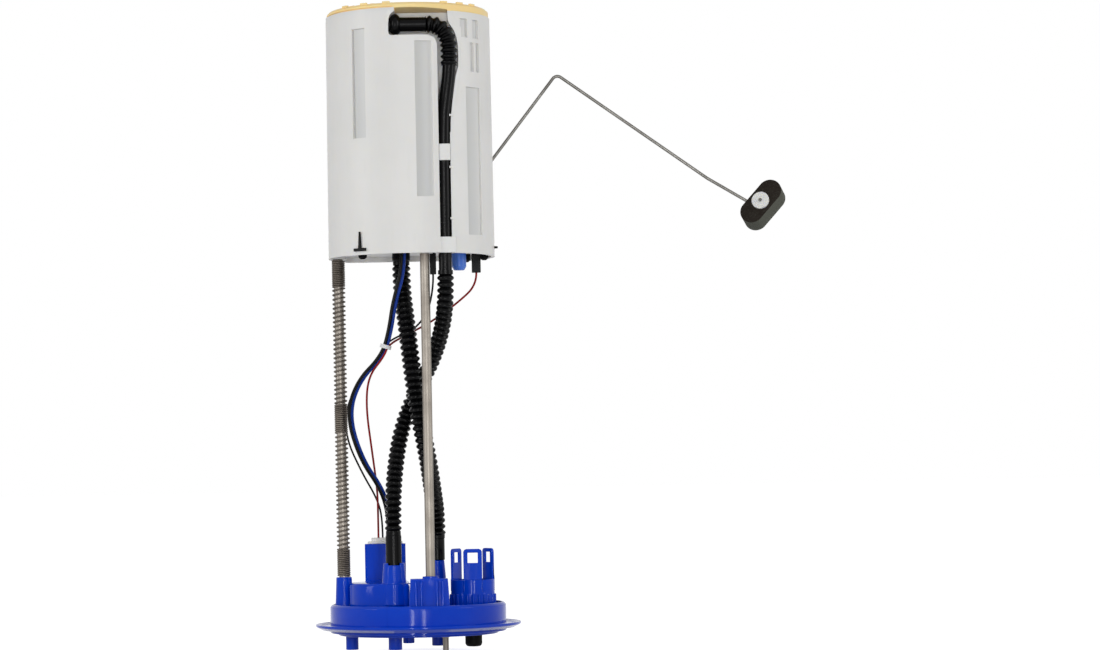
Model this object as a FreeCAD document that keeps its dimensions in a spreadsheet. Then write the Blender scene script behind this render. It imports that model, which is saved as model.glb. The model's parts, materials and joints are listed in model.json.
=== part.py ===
"""Fuel pump module: a round plug flange with two guide rods, and a spring-loaded reservoir on them.

The frame: +Z runs from the flange to the reservoir, +X towards the float, and the origin is on the
flange's axis, at the face of the disc that lies on the tank. Everything is in millimetres.
"""

import FreeCAD, Part
import math
import os

import Sketcher

V = FreeCAD.Vector

# Driving sizes, in millimetres, degrees and counts
SIZES = {
    # Flange disc, plug and the stepped rings outside the tank
    "disc_radius": 70.0,
    "disc_edge": 1.7,
    "disc_thickness": 2.6,
    "lip_rise": 1.3,
    "lip_width": 4.0,
    "ledge_width": 10.0,
    "plug_height": 14.6,
    "plug_wall": 2.6,
    "floor_thickness": 3.0,
    "pilot_inset": 5.5,
    "pilot_depth": 6.5,
    "step_depth": 4.8,
    "rib_thickness": 1.6,
    # Guide rods and the posts that hold them
    "rod_radius": 3.175,
    "rod_top": 318.0,
    "rod_seat": 12.0,
    "rod_fit": 0.02,
    "rod_left_x": -50.2,
    "rod_front_x": 8.6,
    "rod_front_y": -45.0,
    "post_radius": 5.3,
    "post_top": 33.0,
    "post_flare": 1.6,
    "block_width": 24.2,
    "block_depth": 13.0,
    "block_top": 32.5,
    "block_rib": 1.5,
    "slide_fit": 0.07,
    "stop_radius": 4.9,
    "stop_thickness": 1.2,
    "stop_gap": 0.3,
    # Return spring
    "spring_radius": 3.98,
    "spring_wire": 1.1,
    "spring_close_length": 19.0,
    "spring_open_turns": 7.0,
    # Chamber, connector tower and its socket
    "chamber_left": -46.0,
    "chamber_right": -5.5,
    "chamber_front": -34.0,
    "chamber_back": 34.0,
    "chamber_top": 29.0,
    "chamber_fillet": 6.0,
    "tower_x": -22.0,
    "tower_y": 25.0,
    "tower_width": 28.0,
    "tower_depth": 20.0,
    "tower_top": 54.8,
    "tower_bevel": 3.0,
    "tower_facet": 11.0,
    "socket_width": 20.0,
    "socket_depth": 13.0,
    "socket_roof": 38.0,
    "plug_floor": 42.0,
    "pin_radius": 0.8,
    "pin_pitch": 5.0,
    "pin_low": 14.0,
    "pin_high": 51.0,
    "harness_width": 24.0,
    "harness_depth": 16.0,
    "harness_step": 5.0,
    "harness_flange": 1.5,
    "harness_height": 2.6,
    "harness_gap": 0.3,
    # Hose nozzles through the flange and their outside nipples
    "return_x": -15.8,
    "return_y": -30.0,
    "supply_x": 13.6,
    "supply_y": 15.0,
    "nozzle_bore": 2.6,
    "nozzle_radius": 3.9,
    "nozzle_top": 50.0,
    "shroud_top": 42.9,
    "shroud_radius": 7.0,
    "shroud_base_radius": 9.6,
    "shroud_wall": 1.5,
    "shroud_lip": 3.0,
    "return_bulge": 9.0,
    "supply_cone_top": 43.0,
    "supply_cone_radius": 4.9,
    "supply_cone_base": 8.6,
    "nipple_radius": 4.6,
    "nipple_end": -15.6,
    "cuff_radius": 5.35,
    # Blank stubs and the steel line on the outside
    "stub_left_x": -45.4,
    "stub_left_radius": 4.3,
    "stub_left_end": -16.6,
    "stub_mid_x": -6.8,
    "stub_mid_y": -12.0,
    "stub_mid_radius": 3.9,
    "stub_mid_end": -12.2,
    "line_x": 18.4,
    "line_y": 2.0,
    "line_radius": 2.05,
    "line_end": -20.0,
    "line_collar": 2.9,
    "line_inside": 9.0,
    "line_boss": 2.75,
    # Vent cup and the rubber boot under it
    "cup_inset": 22.6,
    "cup_y": -3.0,
    "cup_radius": 14.8,
    "cup_wall": 2.2,
    "cup_rim": 30.0,
    "cup_step": 22.3,
    "cup_finger_top": 51.0,
    "cup_finger_width": 12.6,
    "cup_corner": 2.0,
    "cup_window_width": 6.9,
    "cup_window_low": 41.5,
    "cup_window_high": 48.4,
    "spline_radius": 15.0,
    "spline_rib": 0.9,
    "spline_count": 24.0,
    "boot_radius": 5.8,
    "boot_end": -15.6,
    "vent_bore": 2.0,
    "vent_nipple": 3.4,
    # Reservoir shell
    "shell_low": 249.5,
    "shell_high": 411.0,
    "shell_radius_low": 56.6,
    "shell_taper": 0.8,
    "shell_wall": 2.6,
    "shell_flat": 38.0,
    "guide_wall": 2.2,
    "guide_top": 312.0,
    "pipe_x": 22.3,
    "pipe_inset": 10.1,
    "channel_radius": 4.8,
    "channel_wall": 1.8,
    "recess_left": -12.9,
    "recess_step_x": 19.5,
    "recess_right": 35.2,
    "recess_low": 394.5,
    "recess_foot": 330.0,
    "recess_waist": 374.0,
    "recess_shoulder": 400.0,
    "recess_corner": 6.0,
    "recess_nook": 2.0,
    "recess_depth": 17.0,
    "slot_depth": 1.9,
    "band_height": 10.5,
    "band_thickness": 1.5,
    # End cap and its inlet valve
    "cap_thickness": 5.5,
    "cap_inset": 0.8,
    "tab_height": 6.0,
    "tab_width": 9.0,
    "foot_radius": 2.2,
    "foot_height": 1.1,
    "foot_circle": 47.0,
    "inlet_radius": 12.0,
    "inlet_slot": 3.0,
    "valve_radius": 10.5,
    "valve_stem": 2.0,
    # Carrier plate and what hangs on it
    "carrier_low": 253.0,
    "carrier_thickness": 2.5,
    "carrier_gap": 0.3,
    "pump_x": -7.3,
    "pump_y": 5.0,
    "pump_radius": 19.0,
    "pump_wall": 1.2,
    "pump_low": 285.0,
    "pump_high": 366.0,
    "lid_thickness": 5.0,
    "casing_thickness": 6.0,
    "sleeve_thickness": 1.6,
    "sleeve_low": 287.0,
    "sleeve_high": 297.0,
    "holder_wall": 2.0,
    "holder_low": 284.0,
    "outlet_offset": -13.0,
    "outlet_low": 262.0,
    "pump_cuff_radius": 6.1,
    "pump_cuff_low": 247.0,
    "pump_cuff_high": 271.0,
    "relief_x": 32.0,
    "relief_y": -10.0,
    "relief_radius": 4.9,
    "relief_low": 240.0,
    "sender_plug_x": 44.0,
    "sender_plug_y": 10.0,
    "sender_plug_low": 239.5,
    "pump_plug_x": 14.2,
    "pump_plug_y": -20.0,
    "pump_plug_low": 237.0,
    "lead_plug_x": -5.9,
    "lead_plug_y": -21.8,
    "lead_plug_height": 8.0,
    "bumper_radius": 2.9,
    "bumper_height": 5.5,
    # Pump inside
    "shaft_radius": 2.0,
    "shaft_fit": 0.05,
    "core_radius": 12.5,
    "core_low": 304.0,
    "core_high": 338.0,
    "magnet_inner": 13.2,
    "impeller_radius": 16.0,
    "impeller_thickness": 3.0,
    "impeller_gap": 0.4,
    "impeller_drop": 16.0,
    "blade_count": 20.0,
    "strainer_radius": 23.0,
    "strainer_low": 386.0,
    "strainer_high": 397.0,
    "jet_x": -21.0,
    "jet_offset": 4.0,
    # Side hose and its fixings
    "pipe_radius": 4.4,
    "bend_radius": 5.7,
    "elbow_radius": 4.7,
    "grommet_radius": 7.15,
    "grommet_length": 7.6,
    "hose_inset": 9.6,
    "hose_z": 402.4,
    "clip_low": 311.0,
    "clip_height": 11.0,
    "foot_clip_low": 2.3,
    "foot_clip_width": 9.8,
    "foot_clip_bar": 2.0,
    "foot_clip_height": 13.0,
    # Hoses and wires between flange and reservoir
    "hose_a_radius": 6.0,
    "hose_b_radius": 5.7,
    "thick_wire_radius": 1.1,
    "thin_wire_radius": 0.55,
    "tie_radius": 3.9,
    "tie_wall": 0.6,
    "tie_width": 2.6,
    # Level sender
    "pivot_x": 24.0,
    "pivot_z": 277.4,
    "frame_width": 24.0,
    "frame_height": 50.0,
    "frame_thickness": 3.0,
    "card_thickness": 0.6,
    "hub_radius": 5.5,
    "hub_thickness": 1.5,
    "hub_gap": 0.3,
    "arm_radius": 1.1,
    "arm_fit": 0.05,
    "arm_y": 47.5,
    "float_length": 35.0,
    "float_width": 16.5,
    "float_thickness": 17.0,
    "float_standoff": 6.5,
    "washer_radius": 6.0,
    "washer_thickness": 1.5,
    "elbow_x": 102.9,
    "elbow_z": 379.0,
    "knee_x": 206.8,
    "knee_z": 304.6,
    "float_x": 241.3,
    "float_y": 25.4,
    "float_z": 286.4,
}

# Which way the wire end points through the float, from its back to its face
WIRE_END = V(-0.28, -0.92, 0.28).normalize()
# Which way the float's length lies
FLOAT_ALONG = V(0.664, 0.026, 0.748).normalize()

doc = FreeCAD.newDocument("FuelPumpModule")
sheet = doc.addObject("Spreadsheet::Sheet", "Sizes")


class Size:
    """A size: its value, and the formula on the sheet's cells that gives it."""

    def __init__(self, value, formula):
        self.value = value
        self.formula = formula

    def joined(self, other, sign, value):
        return Size(value, f"({self.formula} {sign} {formula_of(other)})")

    def __add__(self, other):
        return self.joined(other, "+", self.value + value_of(other))

    def __sub__(self, other):
        return self.joined(other, "-", self.value - value_of(other))

    def __mul__(self, other):
        return self.joined(other, "*", self.value * value_of(other))

    def __truediv__(self, other):
        return self.joined(other, "/", self.value / value_of(other))

    def __neg__(self):
        return Size(-self.value, f"(-1 * {self.formula})")

    def __radd__(self, other):
        return as_size(other) + self

    def __rsub__(self, other):
        return as_size(other) - self

    def __rmul__(self, other):
        return as_size(other) * self


def as_size(number):
    return number if isinstance(number, Size) else Size(float(number), f"({float(number):g})")


def value_of(size):
    return as_size(size).value


def formula_of(size):
    return as_size(size).formula


def fill_sheet():
    """Writes each driving size in a row of the sheet and returns the sizes by name."""
    sizes = {}
    for row, (name, number) in enumerate(SIZES.items(), start=1):
        sheet.set(f"A{row}", name.replace("_", " "))
        sheet.set(f"B{row}", str(number))
        sheet.setAlias(f"B{row}", name)
        sizes[name] = Size(number, f"Sizes.{name}")
    doc.recompute()
    return sizes


S = fill_sheet()

# Sizes that follow from the driving ones
PLUG_RADIUS = S["disc_radius"] - S["ledge_width"]
PILOT_RADIUS = PLUG_RADIUS - S["pilot_inset"]
CUP_X = PLUG_RADIUS - S["cup_inset"]
SHELL_TOP_RADIUS = S["shell_radius_low"] - S["shell_taper"]
HOSE_Y = S["hose_inset"] - S["shell_radius_low"]
CHANNEL_Y = S["pipe_inset"] - S["shell_radius_low"]
RECESS_BACK = S["recess_depth"] - S["shell_radius_low"]
CARRIER_RADIUS = S["shell_radius_low"] - S["shell_wall"] - S["carrier_gap"]
CARRIER_TOP = S["carrier_low"] + S["carrier_thickness"]
CAP_TOP = S["shell_high"] + S["cap_thickness"]
GUIDE_BORE = S["rod_radius"] + S["slide_fit"]
GUIDE_RADIUS = GUIDE_BORE + S["guide_wall"]
CHANNEL_OUTER = S["channel_radius"] + S["channel_wall"]
CUP_BOSS = S["spline_radius"] - S["cup_wall"] - S["rod_fit"]
SHELL_CLEAR = S["shell_radius_low"] + 20
IMPELLER_LOW = S["pump_high"] - S["impeller_drop"]
PIPE_X = S["pipe_x"].value
PIPE_Y = CHANNEL_Y.value
BEND_Y = HOSE_Y.value

# Routes of the hoses and wires, from the reservoir down to the flange
HOSE_A_ROUTE = (
    (-7.3, -8, 247),
    (-7.3, -8, 228),
    (-4.6, -16, 206),
    (-1.8, -21.5, 178),
    (1.8, -21.5, 148),
    (8, -14, 116),
    (11.5, 0, 90),
    (13.6, 15, 72),
    (13.6, 15, 58),
)
HOSE_B_ROUTE = (
    (PIPE_X, PIPE_Y, 238),
    (PIPE_X, PIPE_Y, 222),
    (20.4, -33, 203),
    (14.8, -20, 184),
    (6.5, -9.5, 167),
    (-3.5, -6, 149),
    (-10.8, -10.5, 127),
    (-14.6, -21, 101),
    (-15.8, -30, 80),
    (-15.8, -30, 61.5),
)
WIRE_PAIR_ROUTE = (
    (-5.9, -21.8, 255.5),
    (-5.9, -21.8, 240),
    (-12.5, -20.5, 219),
    (-15.5, -20, 200),
    (-20.5, -19.5, 183),
    (-38, -13.5, 166),
    (-45.5, -7, 143),
    (-37, -3, 113),
    (-23, 8, 92),
    (-18.5, 24, 73),
    (-18.5, 24, 58.9),
)
RED_WIRE_ROUTE = (
    (44, 10, 239.5),
    (44, 10, 231),
    (31, 5, 219),
    (13, -1.5, 206),
    (-5.5, -8, 196.5),
    (-16.9, -21.2, 190),
    (-20, -20.6, 182),
    (-31, -15.5, 169),
    (-33, -8, 148),
    (-29.5, 1, 118),
    (-26.5, 13, 92),
    (-26.5, 24, 74),
    (-26.5, 24, 58.9),
)
THIN_WIRE_ROUTE = (
    (14.2, -20, 237),
    (14.2, -20, 228),
    (10, -13, 211),
    (0, -9.3, 199.8),
    (-10.5, -11.5, 196),
    (-20, -18.2, 190),
    (-23, -17.5, 182),
    (-36, -9, 168),
    (-46.5, 4, 150),
    (-47.5, 9.5, 128),
    (-37, 15, 104),
    (-27, 21, 86),
    (-23.6, 25.5, 73),
    (-23.6, 25.5, 58.9),
)
SIDE_BEND_ROUTE = (
    (11.7, BEND_Y, 402.4),
    (18.5, BEND_Y, 402.4),
    (25.4, BEND_Y, 396.5),
    (27.8, BEND_Y, 387),
    (27.2, BEND_Y, 374.5),
)
SIDE_PIPE_ROUTE = (
    (27.2, BEND_Y, 374.5),
    (26.85, BEND_Y, 367.2),
    (24.4, BEND_Y, 352),
    (PIPE_X, PIPE_Y, 333),
    (PIPE_X, PIPE_Y, 238),
)
TIE_PLACE = V(-18.4, -19.7, 190)
TIE_ALONG = V(-5, 0.5, -17)


def bind(thing, path, size):
    """Ties one property of an object to the sheet."""
    if isinstance(size, Size):
        thing.setExpression(path, size.formula)
    elif path.startswith("Constraints"):
        pass
    else:
        thing.setExpression(path, f"{float(size):g}")


def new_body(label, place=(0, 0, 0)):
    """A body with its name, put at its place in the frame."""
    body = doc.addObject("PartDesign::Body", label)
    body.Label = label
    for axis, size in zip("xyz", place):
        bind(body, f"Placement.Base.{axis}", size)
    return body


def origin_plane(body, role):
    for feature in body.Origin.OriginFeatures:
        if feature.Role == role:
            return feature
    raise LookupError(role)


def new_sketch(body, role="XY_Plane", up=0.0, turn=0.0, across=0.0):
    """A sketch on an origin plane, lifted along the plane's normal.

    On the XZ plane turn swings the sketch round the Z axis before it is lifted, so that it faces
    outwards at that angle from the front.
    """
    sketch = body.newObject("Sketcher::SketchObject", body.Label + "_sketch")
    sketch.AttachmentSupport = (origin_plane(body, role), [""])
    sketch.MapMode = "FlatFace"
    if turn:
        sketch.AttachmentOffset = FreeCAD.Placement(V(), FreeCAD.Rotation(V(0, 1, 0), turn))
        lift = as_size(up)
        bind(sketch, "AttachmentOffset.Base.x", lift * math.sin(math.radians(turn)))
        bind(sketch, "AttachmentOffset.Base.z", lift * math.cos(math.radians(turn)))
    else:
        bind(sketch, "AttachmentOffset.Base.x", across)
        bind(sketch, "AttachmentOffset.Base.z", up)
    return sketch


def fix_point(sketch, line, end, point):
    """Holds one end of a line, or a circle's centre, at its sheet-driven place."""
    for kind, size in zip(("DistanceX", "DistanceY"), point):
        index = sketch.addConstraint(Sketcher.Constraint(kind, line, end, value_of(size)))
        bind(sketch, f"Constraints[{index}]", size)


def add_outline(sketch, points):
    """A closed outline of straight edges through the points."""
    spots = [V(value_of(x), value_of(y), 0) for x, y in points]
    lines = []
    for start, stop in zip(spots, spots[1:] + spots[:1]):
        lines.append(sketch.addGeometry(Part.LineSegment(start, stop), False))
    for line, following in zip(lines, lines[1:] + lines[:1]):
        sketch.addConstraint(Sketcher.Constraint("Coincident", line, 2, following, 1))
    for line, point in zip(lines, points):
        fix_point(sketch, line, 1, point)


def add_circle(sketch, radius, centre=(0, 0)):
    """A circle of a sheet-driven radius and centre."""
    middle = V(value_of(centre[0]), value_of(centre[1]), 0)
    circle = Part.Circle(middle, V(0, 0, 1), value_of(radius))
    index = sketch.addGeometry(circle, False)
    size = sketch.addConstraint(Sketcher.Constraint("Radius", index, value_of(radius)))
    bind(sketch, f"Constraints[{size}]", radius)
    fix_point(sketch, index, 3, centre)


def add_box(sketch, centre, width, depth):
    """A rectangle round its centre."""
    left = centre[0] - as_size(width) / 2
    right = centre[0] + as_size(width) / 2
    front = centre[1] - as_size(depth) / 2
    back = centre[1] + as_size(depth) / 2
    add_outline(sketch, [(left, front), (right, front), (right, back), (left, back)])


def finish_feature(body, feature):
    body.Tip = feature
    return feature


def pad(body, sketch, length, taper=0.0):
    """Extrudes a sketch along its plane's normal."""
    feature = body.newObject("PartDesign::Pad", body.Label + "_pad")
    feature.Profile = sketch
    bind(feature, "Length", length)
    feature.TaperAngle = taper
    return finish_feature(body, feature)


def pocket(body, sketch, length, towards_normal=False):
    """Cuts a sketch away, against its plane's normal unless told otherwise."""
    feature = body.newObject("PartDesign::Pocket", body.Label + "_pocket")
    feature.Profile = sketch
    bind(feature, "Length", length)
    feature.Reversed = towards_normal
    return finish_feature(body, feature)


def spun(body, sketch, kind="PartDesign::Revolution"):
    """Revolves a sketch all the way round its upright axis, as a solid or as a cut."""
    feature = body.newObject(kind, body.Label + "_turned")
    feature.Profile = sketch
    feature.ReferenceAxis = (sketch, ["V_Axis"])
    feature.Angle = 360
    return finish_feature(body, feature)


def round_pattern(body, feature, count, angle=360.0):
    """Repeats a feature round the body's Z axis."""
    pattern = body.newObject("PartDesign::PolarPattern", body.Label + "_pattern")
    pattern.Originals = [feature]
    axis = [part for part in body.Origin.OriginFeatures if part.Role == "Z_Axis"][0]
    pattern.Axis = (axis, [""])
    pattern.Angle = angle
    bind(pattern, "Occurrences", count)
    return finish_feature(body, pattern)


def soften(body, radius, wanted, kind="PartDesign::Fillet"):
    """Rounds or bevels the edges of the last feature that the test picks."""
    doc.recompute()
    tip = body.Tip
    names = [f"Edge{i}" for i, edge in enumerate(tip.Shape.Edges, start=1) if wanted(edge)]
    if not names:
        raise ValueError(f"{body.Label} has no edge to soften")
    feature = body.newObject(kind, body.Label + "_softened")
    feature.Base = (tip, names)
    bind(feature, "Radius" if kind.endswith("Fillet") else "Size", radius)
    return finish_feature(body, feature)


def turned(label, outline, place=(0, 0, 0)):
    """A piece made on a lathe: its half outline, as radius and height, round its own Z axis."""
    body = new_body(label, place)
    sketch = new_sketch(body, "XZ_Plane")
    add_outline(sketch, outline)
    spun(body, sketch)
    return body


def ring_outline(inner, outer, low, high):
    return [(inner, low), (outer, low), (outer, high), (inner, high)]


def block(label, width, depth, height, place):
    """A plain moulded block, standing on its place."""
    body = new_body(label, place)
    sketch = new_sketch(body)
    add_box(sketch, (as_size(0), as_size(0)), width, depth)
    pad(body, sketch, height)
    return body


def flat_edge_at(height, reach=None):
    """Picks the edges that lie wholly at a height, and within a reach of the Z axis if given."""

    def wanted(edge):
        box = edge.BoundBox
        level = abs(box.ZMin - height) < 0.01 and abs(box.ZMax - height) < 0.01
        return level and (reach is None or max(abs(box.XMax), abs(box.XMin)) < reach)

    return wanted


def upright_edge(edge):
    """Picks straight edges that run along Z."""
    box = edge.BoundBox
    return box.ZLength > 1 and box.XLength < 0.01 and box.YLength < 0.01


# Flange


def flange_base(body):
    """The disc with its dished lip, the plug wall and the stepped rings outside the tank."""
    sketch = new_sketch(body, "XZ_Plane")
    under = -S["floor_thickness"]
    plug_inner = PLUG_RADIUS - S["plug_wall"]
    pilot_inner = PILOT_RADIUS - S["plug_wall"]
    lip_low = S["lip_rise"] - S["disc_edge"]
    corner = S["disc_edge"]
    seat = S["disc_radius"] - S["lip_width"]
    add_outline(
        sketch,
        [
            (0, under),
            (pilot_inner, under),
            (pilot_inner, -S["pilot_depth"]),
            (PILOT_RADIUS, -S["pilot_depth"]),
            (PILOT_RADIUS, under),
            (plug_inner, under),
            (plug_inner, -S["step_depth"]),
            (PLUG_RADIUS, -S["step_depth"]),
            (PLUG_RADIUS, -S["disc_thickness"]),
            (seat, -S["disc_thickness"]),
            (S["disc_radius"], lip_low),
            (S["disc_radius"], S["lip_rise"]),
            (seat, 0),
            (PLUG_RADIUS, 0),
            (PLUG_RADIUS, S["plug_height"] - corner),
            (PLUG_RADIUS - corner, S["plug_height"]),
            (plug_inner, S["plug_height"]),
            (plug_inner, 0),
            (0, 0),
        ],
    )
    spun(body, sketch)


def flange_chamber(body):
    """The rounded chamber beside the connector tower, and the tower with its bevelled corner."""
    root = -S["floor_thickness"] / 2
    sketch = new_sketch(body, up=root)
    left = S["chamber_left"]
    right = S["chamber_right"]
    add_outline(
        sketch,
        [
            (left, S["chamber_front"] / 2),
            (left / 2 - 8, S["chamber_front"]),
            (right, S["chamber_front"]),
            (right, S["chamber_back"]),
            (left / 2 - 8, S["chamber_back"]),
            (left, S["chamber_back"] / 2),
        ],
    )
    pad(body, sketch, S["chamber_top"] - root)
    top = value_of(S["chamber_top"])
    soften(body, S["chamber_fillet"], lambda edge: upright_edge(edge) and edge.BoundBox.ZMax > top - 1)
    soften(body, S["disc_thickness"], flat_edge_at(top))
    sketch = new_sketch(body, up=root)
    half = S["tower_width"] / 2
    deep = S["tower_depth"] / 2
    x = S["tower_x"]
    y = S["tower_y"]
    add_outline(
        sketch,
        [
            (x - half, y - deep + S["tower_bevel"]),
            (x - half + S["tower_facet"], y - deep),
            (x + half, y - deep),
            (x + half, y + deep),
            (x - half, y + deep),
        ],
    )
    pad(body, sketch, S["tower_top"] - root)


def flange_socket(body):
    """The two halves of the connector: the socket from outside and the cavity from inside."""
    centre = (S["tower_x"], S["tower_y"])
    sketch = new_sketch(body, up=-S["pilot_depth"])
    add_box(sketch, centre, S["socket_width"], S["socket_depth"])
    pocket(body, sketch, S["socket_roof"] + S["pilot_depth"], towards_normal=True)
    sketch = new_sketch(body, up=S["tower_top"])
    add_box(sketch, centre, S["socket_width"], S["socket_depth"])
    pocket(body, sketch, S["tower_top"] - S["plug_floor"])
    sketch = new_sketch(body, up=S["plug_floor"])
    for place in pin_places():
        add_circle(sketch, S["pin_radius"] + S["rod_fit"], place)
    pocket(body, sketch, S["plug_floor"] - S["socket_roof"])


def pin_places():
    """The four pins stand in one row across the socket."""
    places = []
    for step in (-1.5, -0.5, 0.5, 1.5):
        places.append((S["tower_x"] + S["pin_pitch"] * step, S["tower_y"]))
    return places


def add_cone(body, x, y, low_radius, top_radius, low, top):
    """A tapered boss on the flange, as a loft between its foot and its top."""
    foot = new_sketch(body, up=low)
    add_circle(foot, low_radius, (x, y))
    head = new_sketch(body, up=top)
    add_circle(head, top_radius, (x, y))
    loft = body.newObject("PartDesign::AdditiveLoft", body.Label + "_loft")
    loft.Profile = foot
    loft.Sections = [head]
    finish_feature(body, loft)


def add_post(body, x, y, radius, low, top):
    sketch = new_sketch(body, up=low)
    add_circle(sketch, radius, (x, y))
    pad(body, sketch, top - low)


def add_bore(body, x, y, radius, top, depth):
    sketch = new_sketch(body, up=top)
    add_circle(sketch, radius, (x, y))
    pocket(body, sketch, depth)


def flange_nozzles(body):
    """The two hose nozzles, the shroud with its notched lip, and the nipples outside."""
    x = S["return_x"]
    y = S["return_y"]
    low = S["chamber_top"] / 2
    root = -S["floor_thickness"] / 2
    add_post(body, x, y, S["return_bulge"], root, S["chamber_top"])
    add_cone(body, x, y, S["shroud_base_radius"], S["shroud_radius"], low, S["shroud_top"])
    inner = S["shroud_radius"] - S["shroud_wall"]
    add_bore(body, x, y, inner, S["shroud_top"], S["shroud_lip"])
    sketch = new_sketch(body, up=S["shroud_top"])
    add_box(sketch, (x, y - S["shroud_radius"]), S["nozzle_radius"] * 2, S["shroud_radius"])
    pocket(body, sketch, S["shroud_lip"] / 2)
    foot = S["shroud_top"] - S["shroud_lip"] - 1
    add_post(body, x, y, S["nozzle_radius"], foot, S["nozzle_top"])
    cone_x = S["supply_x"]
    cone_y = S["supply_y"]
    base = S["supply_cone_base"]
    add_cone(body, cone_x, cone_y, base, S["supply_cone_radius"], root, S["supply_cone_top"])
    top = S["nozzle_top"]
    add_post(body, cone_x, cone_y, S["nozzle_radius"], S["supply_cone_top"] - 1, top)
    for nipple_x, nipple_y in ((x, y), (cone_x, cone_y)):
        add_post(body, nipple_x, nipple_y, S["nipple_radius"], S["nipple_end"], root)


def flange_bores(body):
    """The fuel ways run straight through from each nipple to its nozzle."""
    length = S["nozzle_top"] - S["nipple_end"]
    add_bore(body, S["return_x"], S["return_y"], S["nozzle_bore"], S["nozzle_top"], length)
    add_bore(body, S["supply_x"], S["supply_y"], S["nozzle_bore"], S["nozzle_top"], length)


def flange_posts(body):
    """The spring post, the ribbed block of the front rod and the blank stubs outside."""
    root = -S["floor_thickness"] / 2
    x = S["rod_left_x"]
    flared = S["post_radius"] + S["post_flare"]
    add_cone(body, x, as_size(0), flared, S["post_radius"], root, S["post_top"])
    block_x = S["rod_front_x"] - 1
    block_y = S["rod_front_y"] + 1
    sketch = new_sketch(body, up=root)
    add_box(sketch, (block_x, block_y), S["block_width"] + 5, S["block_depth"] + 3)
    pad(body, sketch, S["block_top"] - root, taper=-3.5)
    rib_front = block_y - S["block_depth"] / 2
    for step in (-9.0, -5.2, 5.2, 9.0):
        sketch = new_sketch(body, up=root)
        centre = (block_x + step, rib_front)
        add_box(sketch, centre, S["block_rib"], S["block_rib"] * 2)
        pad(body, sketch, S["block_top"] - root - S["block_rib"])
    add_post(
        body,
        S["rod_front_x"],
        S["rod_front_y"],
        S["rod_radius"] + S["guide_wall"],
        root,
        S["block_top"] + S["block_rib"],
    )
    end = S["stub_left_end"]
    add_post(body, S["stub_left_x"], as_size(0), S["stub_left_radius"], end, root)
    end = S["stub_mid_end"]
    add_post(body, S["stub_mid_x"], S["stub_mid_y"], S["stub_mid_radius"], end, root)


def flange_holes(body):
    """The blind seats of the rods and the way through of the steel line and the vent."""
    bore = S["rod_radius"] + S["rod_fit"]
    add_bore(body, S["rod_left_x"], as_size(0), bore, S["post_top"], S["post_top"] - S["rod_seat"])
    top = S["block_top"] + S["block_rib"]
    add_bore(body, S["rod_front_x"], S["rod_front_y"], bore, top, top - S["rod_seat"])
    bore = S["line_radius"] + S["rod_fit"]
    top = S["line_inside"]
    add_post(body, S["line_x"], S["line_y"], S["line_boss"], -S["floor_thickness"] / 2, top - 1)
    add_bore(body, S["line_x"], S["line_y"], bore, top, top + S["pilot_depth"])


def flange_vent(body):
    """The boss that the vent cup is pressed on, and the nipple that leads out of it."""
    x = CUP_X
    y = S["cup_y"]
    root = -S["floor_thickness"] / 2
    add_post(body, x, y, CUP_BOSS, root, S["cup_step"] - S["cup_wall"])
    add_post(body, x, y, S["vent_nipple"], S["boot_end"] + S["cup_wall"], root)
    length = S["cup_step"] - S["boot_end"]
    add_bore(body, x, y, S["vent_bore"], S["cup_step"], length)


def make_flange():
    body = new_body("flange")
    flange_base(body)
    flange_chamber(body)
    flange_nozzles(body)
    flange_posts(body)
    flange_vent(body)
    flange_socket(body)
    flange_bores(body)
    flange_holes(body)
    return body


def make_vent_cup():
    """The vent cup: a splined skirt, a plain rim and three windowed snap fingers."""
    body = new_body("vent_cup", (CUP_X, S["cup_y"], 0))
    sketch = new_sketch(body, "XZ_Plane")
    outer = S["cup_radius"]
    inner = outer - S["cup_wall"]
    skirt = S["spline_radius"] - S["cup_wall"]
    floor = S["cup_step"] - S["cup_wall"]
    add_outline(
        sketch,
        [
            (S["vent_bore"], floor),
            (skirt, floor),
            (skirt, 0),
            (S["spline_radius"], 0),
            (S["spline_radius"], floor),
            (outer, S["cup_step"]),
            (outer, S["cup_rim"]),
            (inner, S["cup_rim"]),
            (inner, S["cup_step"]),
            (S["vent_bore"], S["cup_step"]),
        ],
    )
    spun(body, sketch)
    sketch = new_sketch(body)
    add_circle(sketch, S["spline_rib"], (S["spline_radius"], as_size(0)))
    rib = pad(body, sketch, floor)
    round_pattern(body, rib, S["spline_count"])
    sketch = new_sketch(body, "XZ_Plane", up=inner - S["cup_wall"] * 0.4)
    side = S["cup_finger_width"] / 2
    top = S["cup_finger_top"]
    corner = S["cup_corner"]
    edge = corner * 0.3
    add_outline(
        sketch,
        [
            (-side, S["cup_step"]),
            (side, S["cup_step"]),
            (side, top - corner),
            (side - edge, top - edge),
            (side - corner, top),
            (corner - side, top),
            (edge - side, top - edge),
            (-side, top - corner),
        ],
    )
    finger = pad(body, sketch, S["cup_wall"] * 0.8)
    round_pattern(body, finger, 3)
    sketch = new_sketch(body, "XZ_Plane", up=inner - S["cup_wall"])
    middle = (S["cup_window_low"] + S["cup_window_high"]) / 2
    height = S["cup_window_high"] - S["cup_window_low"]
    add_box(sketch, (as_size(0), middle), S["cup_window_width"], height)
    cut = pocket(body, sketch, S["cup_wall"] * 3, towards_normal=True)
    round_pattern(body, cut, 3)
    return body


# Rods, spring and the small pieces on the flange


def make_rod(label, x, y, low):
    """A guide rod with bevelled ends, standing in its blind seat."""
    bevel = S["rod_radius"] / 4
    top = S["rod_top"]
    outline = [
        (0, low),
        (S["rod_radius"] - bevel, low),
        (S["rod_radius"], low + bevel),
        (S["rod_radius"], top - bevel),
        (S["rod_radius"] - bevel, top),
        (0, top),
    ]
    return turned(label, outline, (x, y, 0))


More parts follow.
